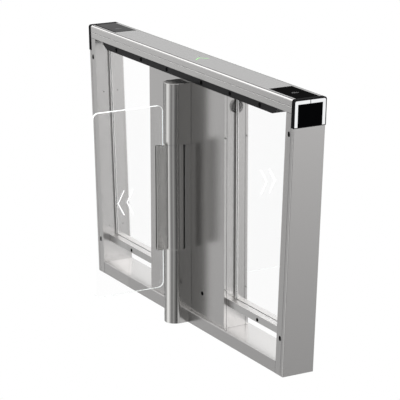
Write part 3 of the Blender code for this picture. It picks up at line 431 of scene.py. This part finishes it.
# How far brushed lines change the colour and the roughness
BRUSH_CONTRAST = 0.014
BRUSH_SPREAD = 0.012
DEEP_BLACK = (0.001, 0.001, 0.0012)


def shaded(colour, share, lift=0.0):
    """A colour with each channel made darker or lighter."""
    return tuple(min(1.0, channel * share + lift) for channel in colour)


def brushed(name, colour, grain, roughness=0.24):
    """Brushed stainless: fine lines along one axis in colour, roughness and relief, over soft clouding."""
    made = Finish(name)
    lines = made.noise(14.0, 6.0, GRAIN[grain])
    clouds = made.noise(2.2, 2.0)
    mixed = made.times(made.fit(lines, *NOISE_BAND, 0.55, 1.0), made.fit(clouds, *NOISE_BAND, 0.75, 1.0))
    darker = shaded(colour, 1 - BRUSH_CONTRAST)
    made.feed(Base_Color=made.tint(mixed, darker, shaded(colour, 1 + BRUSH_CONTRAST)), Metallic=1.0,
              Roughness=made.fit(lines, *NOISE_BAND, roughness - BRUSH_SPREAD, roughness + BRUSH_SPREAD))
    made.bump(lines, 0.00002, 0.03)
    return made.material


def moulded(name, colour, roughness, gloss=0.4, grain_scale=420.0):
    """Moulded plastic or powder coat: a fine pebble in relief and a slight change of gloss."""
    made = Finish(name)
    pebble = made.noise(grain_scale, 2.0)
    clouds = made.noise(9.0, 2.0)
    made.feed(Base_Color=made.tint(clouds, colour, shaded(colour, 1.25, 0.001)), Specular_IOR_Level=gloss,
              Roughness=made.fit(clouds, *NOISE_BAND, roughness - 0.03, roughness + 0.04))
    made.bump(pebble, 0.00003, 0.4)
    return made.material


def polished_black(name, colour, roughness, gloss):
    """Black glass: deep colour and faint handling marks in the gloss."""
    made = Finish(name)
    marks = made.noise(16.0, 5.0)
    made.feed(Base_Color=made.tint(marks, colour, shaded(colour, 1.4, 0.0005)), Specular_IOR_Level=gloss,
              Roughness=made.fit(marks, 0.45, 0.8, roughness, roughness + 0.06))
    return made.material


def clear_glass(name, colour):
    """Clear toughened glass with a trace of unevenness in its gloss."""
    made = Finish(name)
    made.feed(Base_Color=(*colour, 1.0), Transmission_Weight=1.0, IOR=1.45,
              Roughness=made.fit(made.noise(3.0, 1.0), 0.4, 0.7, 0.0, 0.012))
    return made.material


def diffuser(name, colour, strength, body=1.0):
    """A lit or unlit diffuser: milky body with a soft unevenness in its brightness."""
    made = Finish(name)
    cloud = made.noise(30.0, 1.0)
    skin = shaded(colour, body)
    made.feed(Base_Color=made.tint(cloud, shaded(skin, 0.95), skin), Specular_IOR_Level=0.2, Roughness=0.4,
              Emission_Color=(*colour, 1.0),
              Emission_Strength=made.fit(cloud, *NOISE_BAND, strength * 0.95, strength))
    return made.material


def printed(name, colour, glow):
    """Printed film on glass: even colour, a little sheen, a trace of grain, and a glow that, when given,
    paints it brighter without a lamp.
    """
    made = Finish(name)
    made.feed(Base_Color=made.tint(made.noise(200.0, 2.0), shaded(colour, 0.97), colour), Roughness=0.5,
              Emission_Color=(*colour, 1.0), Emission_Strength=glow)
    return made.material


# Putting pieces and finishes together

def present(obj, body, material):
    """Give a new piece its finish, its smooth shading and the body it moves with."""
    obj.data.materials.clear()
    obj.data.materials.append(material)
    obj.data.shade_smooth()
    obj.data.set_sharp_from_angle(angle=SHARP_ANGLE)
    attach(obj, body)


def body_of_node(node):
    """The body that a node of the frame rides on."""
    for body, members in frame["record"]["behaviour"]["bodies"].items():
        if node in members:
            return body
    raise RuntimeError("no body holds " + node)


def finish_node(node, material):
    """Put a finish on a node of the frame as it stands."""
    obj = frame["nodes"][node]
    if not obj.material_slots:
        raise RuntimeError(node + " has no material slot")
    for material_slot in obj.material_slots:
        material_slot.link = "OBJECT"
        material_slot.material = material


def dressed(node, material, edge):
    """A merged copy of a rigid node with its folded edges rounded, standing for the node."""
    mesh = frame["nodes"][node].data.copy()
    bm = bmesh.new()
    bm.from_mesh(mesh)
    bmesh.ops.remove_doubles(bm, verts=bm.verts, dist=COPY_WELD)
    bm.to_mesh(mesh)
    bm.free()
    obj = bpy.data.objects.new(node + "_skin", mesh)
    bpy.context.scene.collection.objects.link(obj)
    present(obj, body_of_node(node), material)
    if edge:
        bevel = obj.modifiers.new("folded edges", "BEVEL")
        bevel.width = edge
        bevel.segments = 2
        bevel.limit_method = "ANGLE"
        bevel.angle_limit = FOLD_ANGLE
    even = obj.modifiers.new("even shading", "WEIGHTED_NORMAL")
    even.weight = 90
    even.keep_sharp = True
    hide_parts(node)


# Finish of each sheet: its grain axis, or a finish of its own
STEEL_NODES = {
    "top_beam": "beam", "top_cover": "top", "base_beam": "base", "right_rail": "rail", "left_rail": "rail",
    "right_post": "y", "left_post": "y", "right_end_cover": "y", "left_end_cover": "y",
    "near_cabinet_cover": "face", "far_cabinet_cover": "face",
    "right_cabinet_wall": "z", "left_cabinet_wall": "z",
}
COLUMN_PIECES = ("lower_housing", "upper_housing", "rear_guard", "sleeve", "clamp_plate")


class TURNSTILE_OT_steelwork(bpy.types.Operator):
    """Brushed sheet on the frame, the covers and the rails, with rounded folds"""
    bl_idname = "turnstile.steelwork"
    bl_label = "Steelwork"

    def execute(self, context):
        tints = colours()
        finishes = {axis: brushed("brushed_sheet_" + axis, tints.sheet, axis) for axis in GRAIN}
        finishes["base"] = brushed("brushed_base", tints.sheet, "x", 0.26)
        finishes["beam"] = brushed("brushed_beam", tints.beam, "x")
        finishes["rail"] = brushed("brushed_rail", tints.rail, "x", 0.36)
        finishes["face"] = brushed("brushed_face", tints.sheet, "z", 0.23)
        finishes["top"] = brushed("brushed_cover", tints.cover, "x")
        for node, finish in STEEL_NODES.items():
            edge = sizes().edge if node == "base_beam" else sizes().fine_edge
            dressed(node, finishes[finish], edge)
        return {"FINISHED"}


class TURNSTILE_OT_columns(bpy.types.Operator):
    """Brushed finish on both columns, their sleeves and clamps"""
    bl_idname = "turnstile.columns"
    bl_label = "Columns"

    def execute(self, context):
        finish = brushed("brushed_column", colours().drum, "z", 0.18)
        for piece in COLUMN_PIECES:
            for side in SIDES:
                dressed(side + "_" + piece, finish, 0.0)
        return {"FINISHED"}


class TURNSTILE_OT_dark_parts(bpy.types.Operator):
    """Caps, black glass, sensor strip and its windows"""
    bl_idname = "turnstile.dark_parts"
    bl_label = "Dark parts"

    def execute(self, context):
        fine = sizes().fine_edge
        cap = moulded("cap_plastic", colours().dark, 0.40, 0.002)
        strip = moulded("strip_coat", colours().strip, 0.42, 0.05)
        glass = polished_black("panel_glass", DEEP_BLACK, 0.06, 0.001)
        window = polished_black("strip_glass", (0.012, 0.012, 0.0125), 0.22, 0.05)
        lens = polished_black("lens_glass", (0.002, 0.002, 0.0025), 0.10, 0.04)
        # Both readers have no gloss; the left reader's grey is painted reflection, while the right one stays
        # black
        readers = {"right": polished_black("right_reader", (0.0035, 0.0035, 0.0035), 0.15, 0.0),
                   "left": polished_black("left_reader", (0.060, 0.060, 0.060), 0.15, 0.0)}
        for hand in HANDS:
            dressed(hand + "_cap", cap, fine)
            dressed(hand + "_cap_glass", glass, fine)
            dressed(hand + "_reader_glass", readers[hand], fine)
            for level in ("lower", "upper"):
                finish_node(hand + "_" + level + "_sensor", lens)
        dressed("sensor_strip", strip, fine)
        for side in SIDES:
            finish_node(side + "_strip_window", window)
        return {"FINISHED"}


class TURNSTILE_OT_lamps(bpy.types.Operator):
    """Light guides in the caps and the direction marks in the top cover"""
    bl_idname = "turnstile.lamps"
    bl_label = "Lamps"

    def execute(self, context):
        white = diffuser("guide_light", (0.96, 0.97, 0.98), 0.90, 0.02)
        green = diffuser("green_light", colours().green, 0.35)
        grey = diffuser("unlit_mark", (0.30, 0.295, 0.30), 0.0)
        for hand in HANDS:
            dressed(hand + "_light_guide", white, sizes().fine_edge)
        finish_node("lit_chevron", green)
        finish_node("unlit_chevron", grey)
        return {"FINISHED"}


class TURNSTILE_OT_glazing(bpy.types.Operator):
    """Fixed panes, and the two leaves with their ground edges, which carry a painted glow"""
    bl_idname = "turnstile.glazing"
    bl_label = "Glazing"

    def execute(self, context):
        pane = clear_glass("pane_glass", (0.984, 0.985, 0.985))
        clear = clear_glass("leaf_clear", (0.998, 0.998, 0.998))
        # The ground edge keeps its own pale colour and gets a painted glow that makes it shine though it is
        # no lamp
        rim = diffuser("ground_edge_painted_glow", (0.90, 0.93, 0.92), 0.30)
        for hand in HANDS:
            finish_node(hand + "_window", pane)
        for side in SIDES:
            self.leaf(side, clear, rim)
        return {"FINISHED"}

    def leaf(self, side, clear, rim):
        """Rounded slab: rings of the outline, drawn in by the edge break at each face."""
        low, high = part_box(side + "_leaf")
        radius = sizes().leaf_corner
        edge = sizes().leaf_break
        rings = []
        for x, inset in ((low.x, edge), (low.x + edge, 0.0), (high.x - edge, 0.0), (high.x, edge)):
            loop = rounded_loop(low.y + inset, low.z + inset, high.y - inset, high.z - inset, radius - inset)
            rings.append(np.column_stack([np.full(len(loop), x), loop]))
        leaf = ringed(side + "_leaf_glass", np.array(rings))
        present(leaf, WINGS[side], clear)
        leaf.data.materials.append(rim)
        ground = np.array([abs(face.normal.x) <= FLAT_COSINE for face in leaf.data.polygons], dtype=np.int32)
        leaf.data.polygons.foreach_set("material_index", ground)
        leaf.visible_glossy = False
        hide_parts(side + "_leaf")


class TURNSTILE_OT_inner_parts(bpy.types.Operator):
    """Motors, pins, boards and plates behind the covers"""
    bl_idname = "turnstile.inner_parts"
    bl_label = "Inner parts"

    def execute(self, context):
        plate = brushed("plain_sheet", (0.36, 0.36, 0.36), "x", 0.45)
        ground = brushed("ground_steel", (0.55, 0.55, 0.55), "z", 0.22)
        motor = moulded("motor_paint", (0.05, 0.05, 0.055), 0.4)
        plastic = moulded("inner_plastic", (0.02, 0.02, 0.02), 0.5)
        board = moulded("circuit_lacquer", (0.02, 0.12, 0.05), 0.35, grain_scale=60.0)
        for node in ("floor_plate", "left_foot_plate", "right_foot_plate", "power_supply"):
            finish_node(node, plate)
        for side in SIDES:
            finish_node(side + "_motor", motor)
            for part in ("pivot_pin", "pivot_bearing", "drive_shaft"):
                finish_node(side + "_" + part, ground)
        for node in ("left_reader_module", "right_reader_module", "speaker"):
            finish_node(node, plastic)
        finish_node("control_board", board)
        return {"FINISHED"}


class TURNSTILE_OT_leaf_marks(bpy.types.Operator):
    """Two white arrow marks printed on each leaf, with a painted glow"""
    bl_idname = "turnstile.leaf_marks"
    bl_label = "Leaf marks"

    def execute(self, context):
        trim = sizes()
        # The print gets a painted glow that lifts its white
        white = printed("mark_film", colours().mark, 0.55)
        for side, sign in SIDES.items():
            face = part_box(side + "_leaf")[1].x
            for label, tip in (("outer", trim.mark_outer), ("inner", trim.mark_inner)):
                piece = self.mark(side + "_" + label + "_mark", sign, tip, face)
                present(piece, WINGS[side], white)
        return {"FINISHED"}

    def mark(self, name, sign, tip, face):
        """A V drawn in the leaf's plane: arms run back from the tip to half the height above and below."""
        trim = sizes()
        half = trim.mark_height / 2
        back = sign * (tip - trim.mark_run)
        path = [(back, trim.mark_level + half), (sign * tip, trim.mark_level), (back, trim.mark_level - half)]
        return flat_stroke(name, path, trim.mark_stroke, lambda u, v, level: (level, u, v),
                           face, face + trim.mark_film)


class TURNSTILE_OT_lenses(bpy.types.Operator):
    """Round sensor lenses in the strip, the cabinet covers and the rails"""
    bl_idname = "turnstile.lenses"
    bl_label = "Lenses"

    def execute(self, context):
        lens = polished_black("sensor_glass", DEEP_BLACK, 0.12, 0.01)
        trim = sizes()
        strip_low, strip_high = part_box("near_strip_window")
        level = (strip_low.z + strip_high.z) / 2
        reaches = [STRIP_LENS_START + step * STRIP_LENS_PITCH for step in range(STRIP_LENS_COUNT)]
        round_lens = bezel_profile(trim.lens_radius, trim.lens_rise, PIECE_SINK)
        small_lens = bezel_profile(trim.rail_lens_radius, trim.lens_rise, PIECE_SINK)
        for side, sign in SIDES.items():
            strip = abs(strip_low.y)
            cabinet = abs(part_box(side + "_cabinet_cover")[0 if sign < 0 else 1].y)
            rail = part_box("right_rail")[1].y
            rows = (("_strip_lenses", strip, reaches, level, round_lens),
                    ("_cabinet_lenses", cabinet, [CABINET_LENS_REACH], CABINET_LENS_LEVEL, round_lens),
                    ("_rail_lenses", rail, [RAIL_LENS_REACH], RAIL_LENS_LEVEL, small_lens))
            for label, plane, across, height, profile in rows:
                centres = [(hand * x, sign * plane, height) for hand in HANDS.values() for x in across]
                piece = many_turned(side + label, profile, centres, (0.0, sign, 0.0))
                present(piece, PEDESTAL, lens)
        return {"FINISHED"}


class TURNSTILE_OT_oval_lenses(bpy.types.Operator):
    """Domed oval covers on the sensors of the posts"""
    bl_idname = "turnstile.oval_lenses"
    bl_label = "Oval lenses"

    def execute(self, context):
        lens = polished_black("oval_glass", DEEP_BLACK, 0.12, 0.01)
        for hand in HANDS:
            for level in ("lower", "upper"):
                low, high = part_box(hand + "_" + level + "_sensor")
                for side, sign in SIDES.items():
                    face = low.y if sign < 0 else high.y
                    piece = self.oval(hand + "_" + level + "_" + side + "_oval", low, high, face, sign)
                    present(piece, PEDESTAL, lens)
        return {"FINISHED"}

    def oval(self, name, low, high, face, sign):
        """Rings of a stadium outline, drawn in along a quarter circle as it rises from the post."""
        trim = sizes()
        rings = []
        for turn in OVAL_TURNS:
            grow = trim.oval_border - trim.oval_edge * (1.0 - math.cos(turn))
            low_x = low.x - grow
            high_x = high.x + grow
            radius = (high_x - low_x) / 2 - OVAL_PLAY
            loop = rounded_loop(low_x, low.z - grow, high_x, high.z + grow, radius, steps=6)
            y = face + sign * trim.lens_rise * math.sin(turn)
            rings.append(np.column_stack([loop[:, 0], np.full(len(loop), y), loop[:, 1]]))
        return ringed(name, np.array(rings))


class TURNSTILE_OT_joint_lines(bpy.types.Operator):
    """Thin lines where sheets meet: dark seams that paint the shade in each joint, and a light line that
    paints the highlight on the lower lip of the beam's seam
    """
    bl_idname = "turnstile.joint_lines"
    bl_label = "Joint lines"

    def execute(self, context):
        trim = sizes()
        # Painted shadow: the dark seam lines stand in for the shade in the joints between sheets and under
        # the top cover's edge; the pale line is a painted highlight on the lip of the beam's seam
        dark = moulded("seam_painted_shadow", (0.02, 0.02, 0.02), 0.7, 0.1)
        light = brushed("seam_lip_painted_highlight", (0.95, 0.94, 0.93), "x", 0.5)
        beam_low, beam_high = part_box("top_beam")
        wall_low, wall_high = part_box("right_cabinet_wall")
        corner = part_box("near_cabinet_cover")[1].x
        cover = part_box("top_cover")[1]
        edge = cover.y + trim.cover_seam / 4
        along, lips, seams, upright = [], [], [], []
        for sign in SIDES.values():
            out = (0.0, sign, 0.0)
            along.append(self.between_caps(sign * beam_high.y, trim.beam_seam + trim.seam_width, out))
            lips.append(self.between_caps(sign * beam_high.y, trim.beam_seam, out))
            seams.append(self.between_caps(sign * edge, cover.z - trim.seam_rise, UP))
            for hand in HANDS.values():
                upright += self.end_lines(hand, sign * beam_high.y, beam_low.z, out)
                x = hand * corner
                y = sign * wall_high.y
                upright.append(((x, y, wall_low.z), (x, y, wall_high.z), (hand, 0.0, 0.0)))
        pieces = (("beam_seams", along, trim.seam_width, "black_plastic", dark),
                  ("beam_seam_lip_painted_highlights", lips, trim.seam_width, "brushed_steel", light),
                  ("post_seams", upright, trim.seam_width, "black_plastic", dark),
                  ("cover_seams", seams, trim.cover_seam, "black_plastic", dark))
        for name, runs, width, slot_name, material in pieces:
            present(many_beads(name, runs, width, trim.seam_rise), PEDESTAL, material)
        return {"FINISHED"}

    def between_caps(self, y, z, out):
        """A line along the top beam, from cap to cap."""
        return (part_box("left_cap")[1].x, y, z), (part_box("right_cap")[0].x, y, z), out

    def end_lines(self, hand, y, head, out):
        """Lines of one post on one face: cover joint, joint under the top beam and joint with the base."""
        trim = sizes()
        lean = trim.end_lean
        joint = trim.end_reach - trim.end_return
        inner = trim.end_reach - trim.post_width
        cap_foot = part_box("right_cap")[0].z
        base_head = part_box("base_beam")[1].z
        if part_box("right_end_cover")[1].x < trim.end_reach:
            raise RuntimeError("the end cover is shorter than its joint line")
        return [((hand * joint, y, SEAM_FOOT), (hand * (joint + lean * cap_foot), y, cap_foot), out),
                ((hand * (inner + lean * head), y, head), (hand * (joint + lean * head), y, head), out),
                ((hand * inner, y, SEAM_FOOT), (hand * (inner + lean * base_head), y, base_head), out)]


class TURNSTILE_OT_glazing_beads(bpy.types.Operator):
    """Pale strips on the channel lips beside both panes: painted highlight along each lip"""
    bl_idname = "turnstile.glazing_beads"
    bl_label = "Glazing beads"

    def execute(self, context):
        trim = sizes()
        # Painted highlight: pale strips that brighten the band along each channel lip
        pale = moulded("channel_lip_painted_highlight", (0.86, 0.86, 0.85), 0.5)
        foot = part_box("right_rail")[1].z + BEAD_END_GAP
        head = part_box("sensor_strip")[0].z - BEAD_END_GAP
        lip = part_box("right_cabinet_wall")[1].x
        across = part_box("right_window")[1].y + BEAD_PANE_GAP + trim.lip_highlight_width / 2
        reach = trim.end_reach - trim.post_width - trim.channel_reach
        runs = []
        for hand in HANDS.values():
            for sign in SIDES.values():
                y = sign * across
                runs.append(((hand * lip, y, foot), (hand * lip, y, head), (hand, 0.0, 0.0)))
                low, high = ((hand * (reach + trim.end_lean * z), y, z) for z in (foot, head))
                runs.append((low, high, (-hand, 0.0, 0.0)))
        beads = many_beads("pane_lip_highlights", runs, trim.lip_highlight_width, trim.seam_rise)
        present(beads, PEDESTAL, pale)
        return {"FINISHED"}


class TURNSTILE_OT_cap_details(bpy.types.Operator):
    """Dark break in each light guide, and dark edges round the left reader that paint the shade at its thick
    glass edge
    """
    bl_idname = "turnstile.cap_details"
    bl_label = "Cap details"

    def execute(self, context):
        trim = sizes()
        dark = moulded("guide_break", (0.004, 0.004, 0.004), 0.6, 0.0)
        breaks = []
        for side, hand in HANDS.items():
            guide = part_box(side + "_light_guide")
            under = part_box(side + "_cap_glass")[1].z
            face = guide[1].x if hand > 0 else -guide[0].x
            back = trim.cap_lean * (guide[1].z - under)
            breaks.append(((hand * face, 0.0, guide[1].z), (hand * (face - back), 0.0, under),
                           (hand, 0.0, 0.0)))
        # Painted shade: dark strips along the left reader's front and inner edges
        low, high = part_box("left_reader_glass")
        rim = trim.reader_shade_rim
        front = ((low.x, low.y + rim / 2, high.z), (high.x, low.y + rim / 2, high.z), UP)
        end = ((high.x - rim / 4, low.y, high.z), (high.x - rim / 4, high.y, high.z), UP)
        pieces = (("guide_breaks", breaks, trim.guide_break), ("left_reader_shade_rim", [front], rim),
                  ("left_reader_shade_side", [end], rim / 2))
        for name, runs, width in pieces:
            present(many_beads(name, runs, width, trim.seam_rise), PEDESTAL, dark)
        return {"FINISHED"}


class TURNSTILE_OT_screws(bpy.types.Operator):
    """Small screws that hold the covers and the posts"""
    bl_idname = "turnstile.screws"
    bl_label = "Screws"

    def execute(self, context):
        trim = sizes()
        steel = brushed("screw_steel", (0.34, 0.34, 0.33), "y", 0.35)
        dome = dome_profile(trim.screw_radius, trim.screw_rise, PIECE_SINK)
        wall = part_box("right_cabinet_wall")[1].x - WALL_SCREW_INSET
        post = trim.end_reach - trim.post_width
        for name, hand in reversed(HANDS.items()):
            covers = [(hand * wall, sign * WALL_SCREW_OFFSET, z)
                      for sign in SIDES.values() for z in WALL_SCREW_LEVELS]
            posts = [(hand * (post + trim.end_lean * z), sign * POST_SCREW_OFFSET, z)
                     for sign in SIDES.values() for z in POST_SCREW_LEVELS]
            for label, centres, way in (("_cover_screws", covers, hand), ("_post_screws", posts, -hand)):
                piece = many_turned(name + label, dome, centres, (way, 0.0, 0.0), SMALL_TURN_STEPS)
                present(piece, PEDESTAL, steel)
        return {"FINISHED"}


class TURNSTILE_OT_grille_gauze(bpy.types.Operator):
    """Black gauze in the holes of the speaker grille: a low dome in each, on rings of evenly spaced holes"""
    bl_idname = "turnstile.grille_gauze"
    bl_label = "Grille gauze"

    def execute(self, context):
        trim = sizes()
        low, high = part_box("speaker")
        level = (low.z + high.z) / 2
        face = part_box("right_cabinet_wall")[1].x - trim.gauze_sink
        black = moulded("gauze_black", (0.002, 0.002, 0.002), 0.7, 0.0)
        shoulder, lift = GAUZE_SHOULDER_SHARES
        for ring, share in GAUZE_RING_SHARES.items():
            radius = trim.gauze_radius * share
            count = ring * GRILLE_RING_HOLES
            turns = np.arange(count) / count * 2.0 * np.pi
            around = np.column_stack([np.full(count, face), ring * trim.grille_pitch * np.cos(turns),
                                      level + ring * trim.grille_pitch * np.sin(turns)])
            centres = around[np.abs(around[:, 1]) > trim.gauze_gap]
            profile = np.array([[radius, 0.0], [radius * shoulder, trim.gauze_rise * lift],
                                [radius * POLE_SHARE, trim.gauze_rise]])
            name = "grille_gauze_" + str(ring)
            piece = many_turned(name, profile, centres, (1.0, 0.0, 0.0), SMALL_TURN_STEPS)
            present(piece, PEDESTAL, black)
        return {"FINISHED"}


class TURNSTILE_OT_drum_seals(bpy.types.Operator):
    """Grey half-round seals up the lips of the fixed guard behind each sleeve"""
    bl_idname = "turnstile.drum_seals"
    bl_label = "Drum seals"

    def execute(self, context):
        trim = sizes()
        rubber = moulded("seal_rubber", colours().seal, 0.6, 0.1)
        for side, sign in SIDES.items():
            low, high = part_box(side + "_rear_guard")
            y = low.y if sign < 0 else high.y
            for lip, hand in HANDS.items():
                x = hand * (high.x - trim.seal_inset - trim.seal_width / 2)
                runs = [((x, y, low.z), (x, y, high.z), (0.0, sign, 0.0))]
                name = side + "_" + lip + "_seal"
                piece = many_beads(name, runs, trim.seal_width, trim.seal_rise, SEAL_STEPS)
                present(piece, PEDESTAL, rubber)
        return {"FINISHED"}


class TURNSTILE_OT_reader_marks(bpy.types.Operator):
    """Plain mark of three waves on each reader: arcs of circles round one centre"""
    bl_idname = "turnstile.reader_marks"
    bl_label = "Reader marks"

    def execute(self, context):
        trim = sizes()
        film = printed("reader_film", (0.075, 0.075, 0.078), 0.0)
        turns = np.linspace(-WAVE_HALF_TURN, WAVE_HALF_TURN, WAVE_STEPS)
        for name, hand in reversed(HANDS.items()):
            low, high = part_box(name + "_reader_glass")
            centre = (low.x + high.x) / 2 - hand * WAVE_SHIFT
            for index, radius in enumerate(WAVE_RADII):
                path = np.stack([centre + radius * np.cos(turns), radius * np.sin(turns)], axis=1)
                mark = flat_stroke(name + "_reader_wave_" + str(index), path, trim.wave_stroke,
                                   lambda u, v, level: (u, v, level), high.z, high.z + trim.wave_film)
                present(mark, PEDESTAL, film)
        return {"FINISHED"}


class TURNSTILE_OT_stage(bpy.types.Operator):
    """Pale floor, soft light and the camera at the photograph's angle"""
    bl_idname = "turnstile.stage"
    bl_label = "Stage"

    def execute(self, context):
        self.floor(context.scene.turnstile_studio)
        self.room(context.scene)
        self.light(context.scene)
        self.camera(context.scene)
        return {"FINISHED"}

    def floor(self, studio):
        """A wide white sheet under the part that the metal does not mirror."""
        half = studio.floor_size / 2
        corners = np.array([[-half, -half, 0.0], [half, -half, 0.0], [half, half, 0.0], [-half, half, 0.0]])
        sheet = mesh_from_arrays("floor", corners, [[0, 1, 2, 3]])
        glow = studio.floor_glow
        made = Finish("floor_paint")
        made.feed(Base_Color=(1 - glow, 1 - glow, 1 - glow, 1.0), Roughness=0.9, Specular_IOR_Level=0.0,
                  Emission_Color=(1.0, 1.0, 1.0, 1.0), Emission_Strength=glow)
        sheet.data.materials.append(made.material)
        sheet.visible_glossy = False
        sheet.visible_diffuse = False

    def room(self, scene):
        """Studio walls by bearing below eye level, a soft sky above it."""
        world = bpy.data.worlds.new("studio_room")
        scene.world = world
        world.use_nodes = True
        made = Tree(world.node_tree)
        where = made.add("ShaderNodeTexCoord", {}).outputs["Generated"]
        x, y, height = made.add("ShaderNodeSeparateXYZ", {"Vector": where}).outputs
        bearing = made.add("ShaderNodeMath", {0: y, 1: x}, operation="ARCTAN2").outputs[0]
        turn = made.fit(bearing, -math.pi, math.pi)
        upper, lower = self.tones(made, turn, [(self.part_turn(row[0]), *row[1:]) for row in WALL_TONES])
        plain = self.tones(made, height, SKY_TONES)[0]
        share = self.tones(made, turn, [(self.part_turn(row[0]), row[1]) for row in SKY_SHARES])[0]
        sky = made.times(made.times(plain, share), TONE_SCALE)
        low_walls = made.fit(height, *LOW_WALL_BAND, way="SMOOTHSTEP")
        above = made.fit(height, *EYE_LEVEL_BAND, way="SMOOTHSTEP")
        whole = made.between(above, made.between(low_walls, lower, upper), sky)
        back = made.nodes["Background"]
        made.put(back.inputs["Color"], (1.0, 1.0, 1.0, 1.0))
        made.put(back.inputs["Strength"], made.times(whole, TONE_SCALE * scene.turnstile_studio.room_power))

    def part_turn(self, degrees):
        """A bearing as a share of the full turn."""
        return (degrees + 180) / 360

    def tones(self, made, source, stops):
        """One or two brightnesses along a value, kept in a ramp's red and green as shares of the scale."""
        ramp = made.add("ShaderNodeValToRGB", {"Fac": source})
        elements = ramp.color_ramp.elements
        while len(elements) < len(stops):
            elements.new(1.0)
        for element, (place, *tones) in zip(elements, stops):
            element.position = place
            element.color = (tones[0] / TONE_SCALE, tones[-1] / TONE_SCALE, 0.0, 1.0)
        return made.add("ShaderNodeSeparateColor", {"Color": ramp.outputs["Color"]}).outputs[:2]

    def light(self, scene):
        """One large soft key light from above and in front."""
        data = bpy.data.lights.new("key_light", "AREA")
        data.energy = scene.turnstile_studio.key_power
        data.shape = "RECTANGLE"
        data.size, data.size_y = KEY_SIZE
        key = bpy.data.objects.new("key_light", data)
        scene.collection.objects.link(key)
        key.location = KEY_PLACE
        key.rotation_euler = (Vector(KEY_AIM) - key.location).to_track_quat("-Z", "Y").to_euler()

    def camera(self, scene):
        """The camera stands where the photograph was taken from."""
        data = bpy.data.cameras.new("camera")
        data.lens = CAMERA_LENS_MM
        data.sensor_width = SENSOR_MM
        data.clip_end = CAMERA_REACH
        camera = bpy.data.objects.new("camera", data)
        scene.collection.objects.link(camera)
        camera.location = CAMERA_PLACE
        camera.rotation_euler = Vector(CAMERA_FORWARD).to_track_quat("-Z", "Y").to_euler()
        scene.camera = camera
        scene.view_settings.view_transform = "Standard"


OPERATORS = (TURNSTILE_OT_stage, TURNSTILE_OT_steelwork, TURNSTILE_OT_columns, TURNSTILE_OT_dark_parts,
             TURNSTILE_OT_lamps, TURNSTILE_OT_glazing, TURNSTILE_OT_inner_parts, TURNSTILE_OT_leaf_marks,
             TURNSTILE_OT_lenses, TURNSTILE_OT_oval_lenses, TURNSTILE_OT_joint_lines,
             TURNSTILE_OT_glazing_beads, TURNSTILE_OT_cap_details, TURNSTILE_OT_screws,
             TURNSTILE_OT_grille_gauze, TURNSTILE_OT_drum_seals, TURNSTILE_OT_reader_marks)
GROUPS = {"turnstile_studio": StudioSizes, "turnstile_colours": SteelColours, "turnstile_trim": TrimSizes}


class TURNSTILE_PT_panel(bpy.types.Panel):
    """Buttons for every part of the dressing"""
    bl_idname = "TURNSTILE_PT_panel"
    bl_label = "Turnstile"
    bl_space_type = "VIEW_3D"
    bl_region_type = "UI"
    bl_category = "Turnstile"

    def draw(self, context):
        for operator in OPERATORS:
            self.layout.operator(operator.bl_idname)
        for name, group in GROUPS.items():
            for key in group.__annotations__:
                self.layout.prop(getattr(context.scene, name), key)


def register():
    for name, group in GROUPS.items():
        bpy.utils.register_class(group)
        setattr(bpy.types.Scene, name, bpy.props.PointerProperty(type=group))
    for operator in OPERATORS:
        bpy.utils.register_class(operator)
    bpy.utils.register_class(TURNSTILE_PT_panel)


def unregister():
    bpy.utils.unregister_class(TURNSTILE_PT_panel)
    for operator in reversed(OPERATORS):
        bpy.utils.unregister_class(operator)
    for name, group in GROUPS.items():
        delattr(bpy.types.Scene, name)
        bpy.utils.unregister_class(group)


def main():
    """Register and make every part in order."""
    register()
    for operator in OPERATORS:
        group, name = operator.bl_idname.split(".")
        getattr(getattr(bpy.ops, group), name)()


if __name__ == "__main__":
    main()
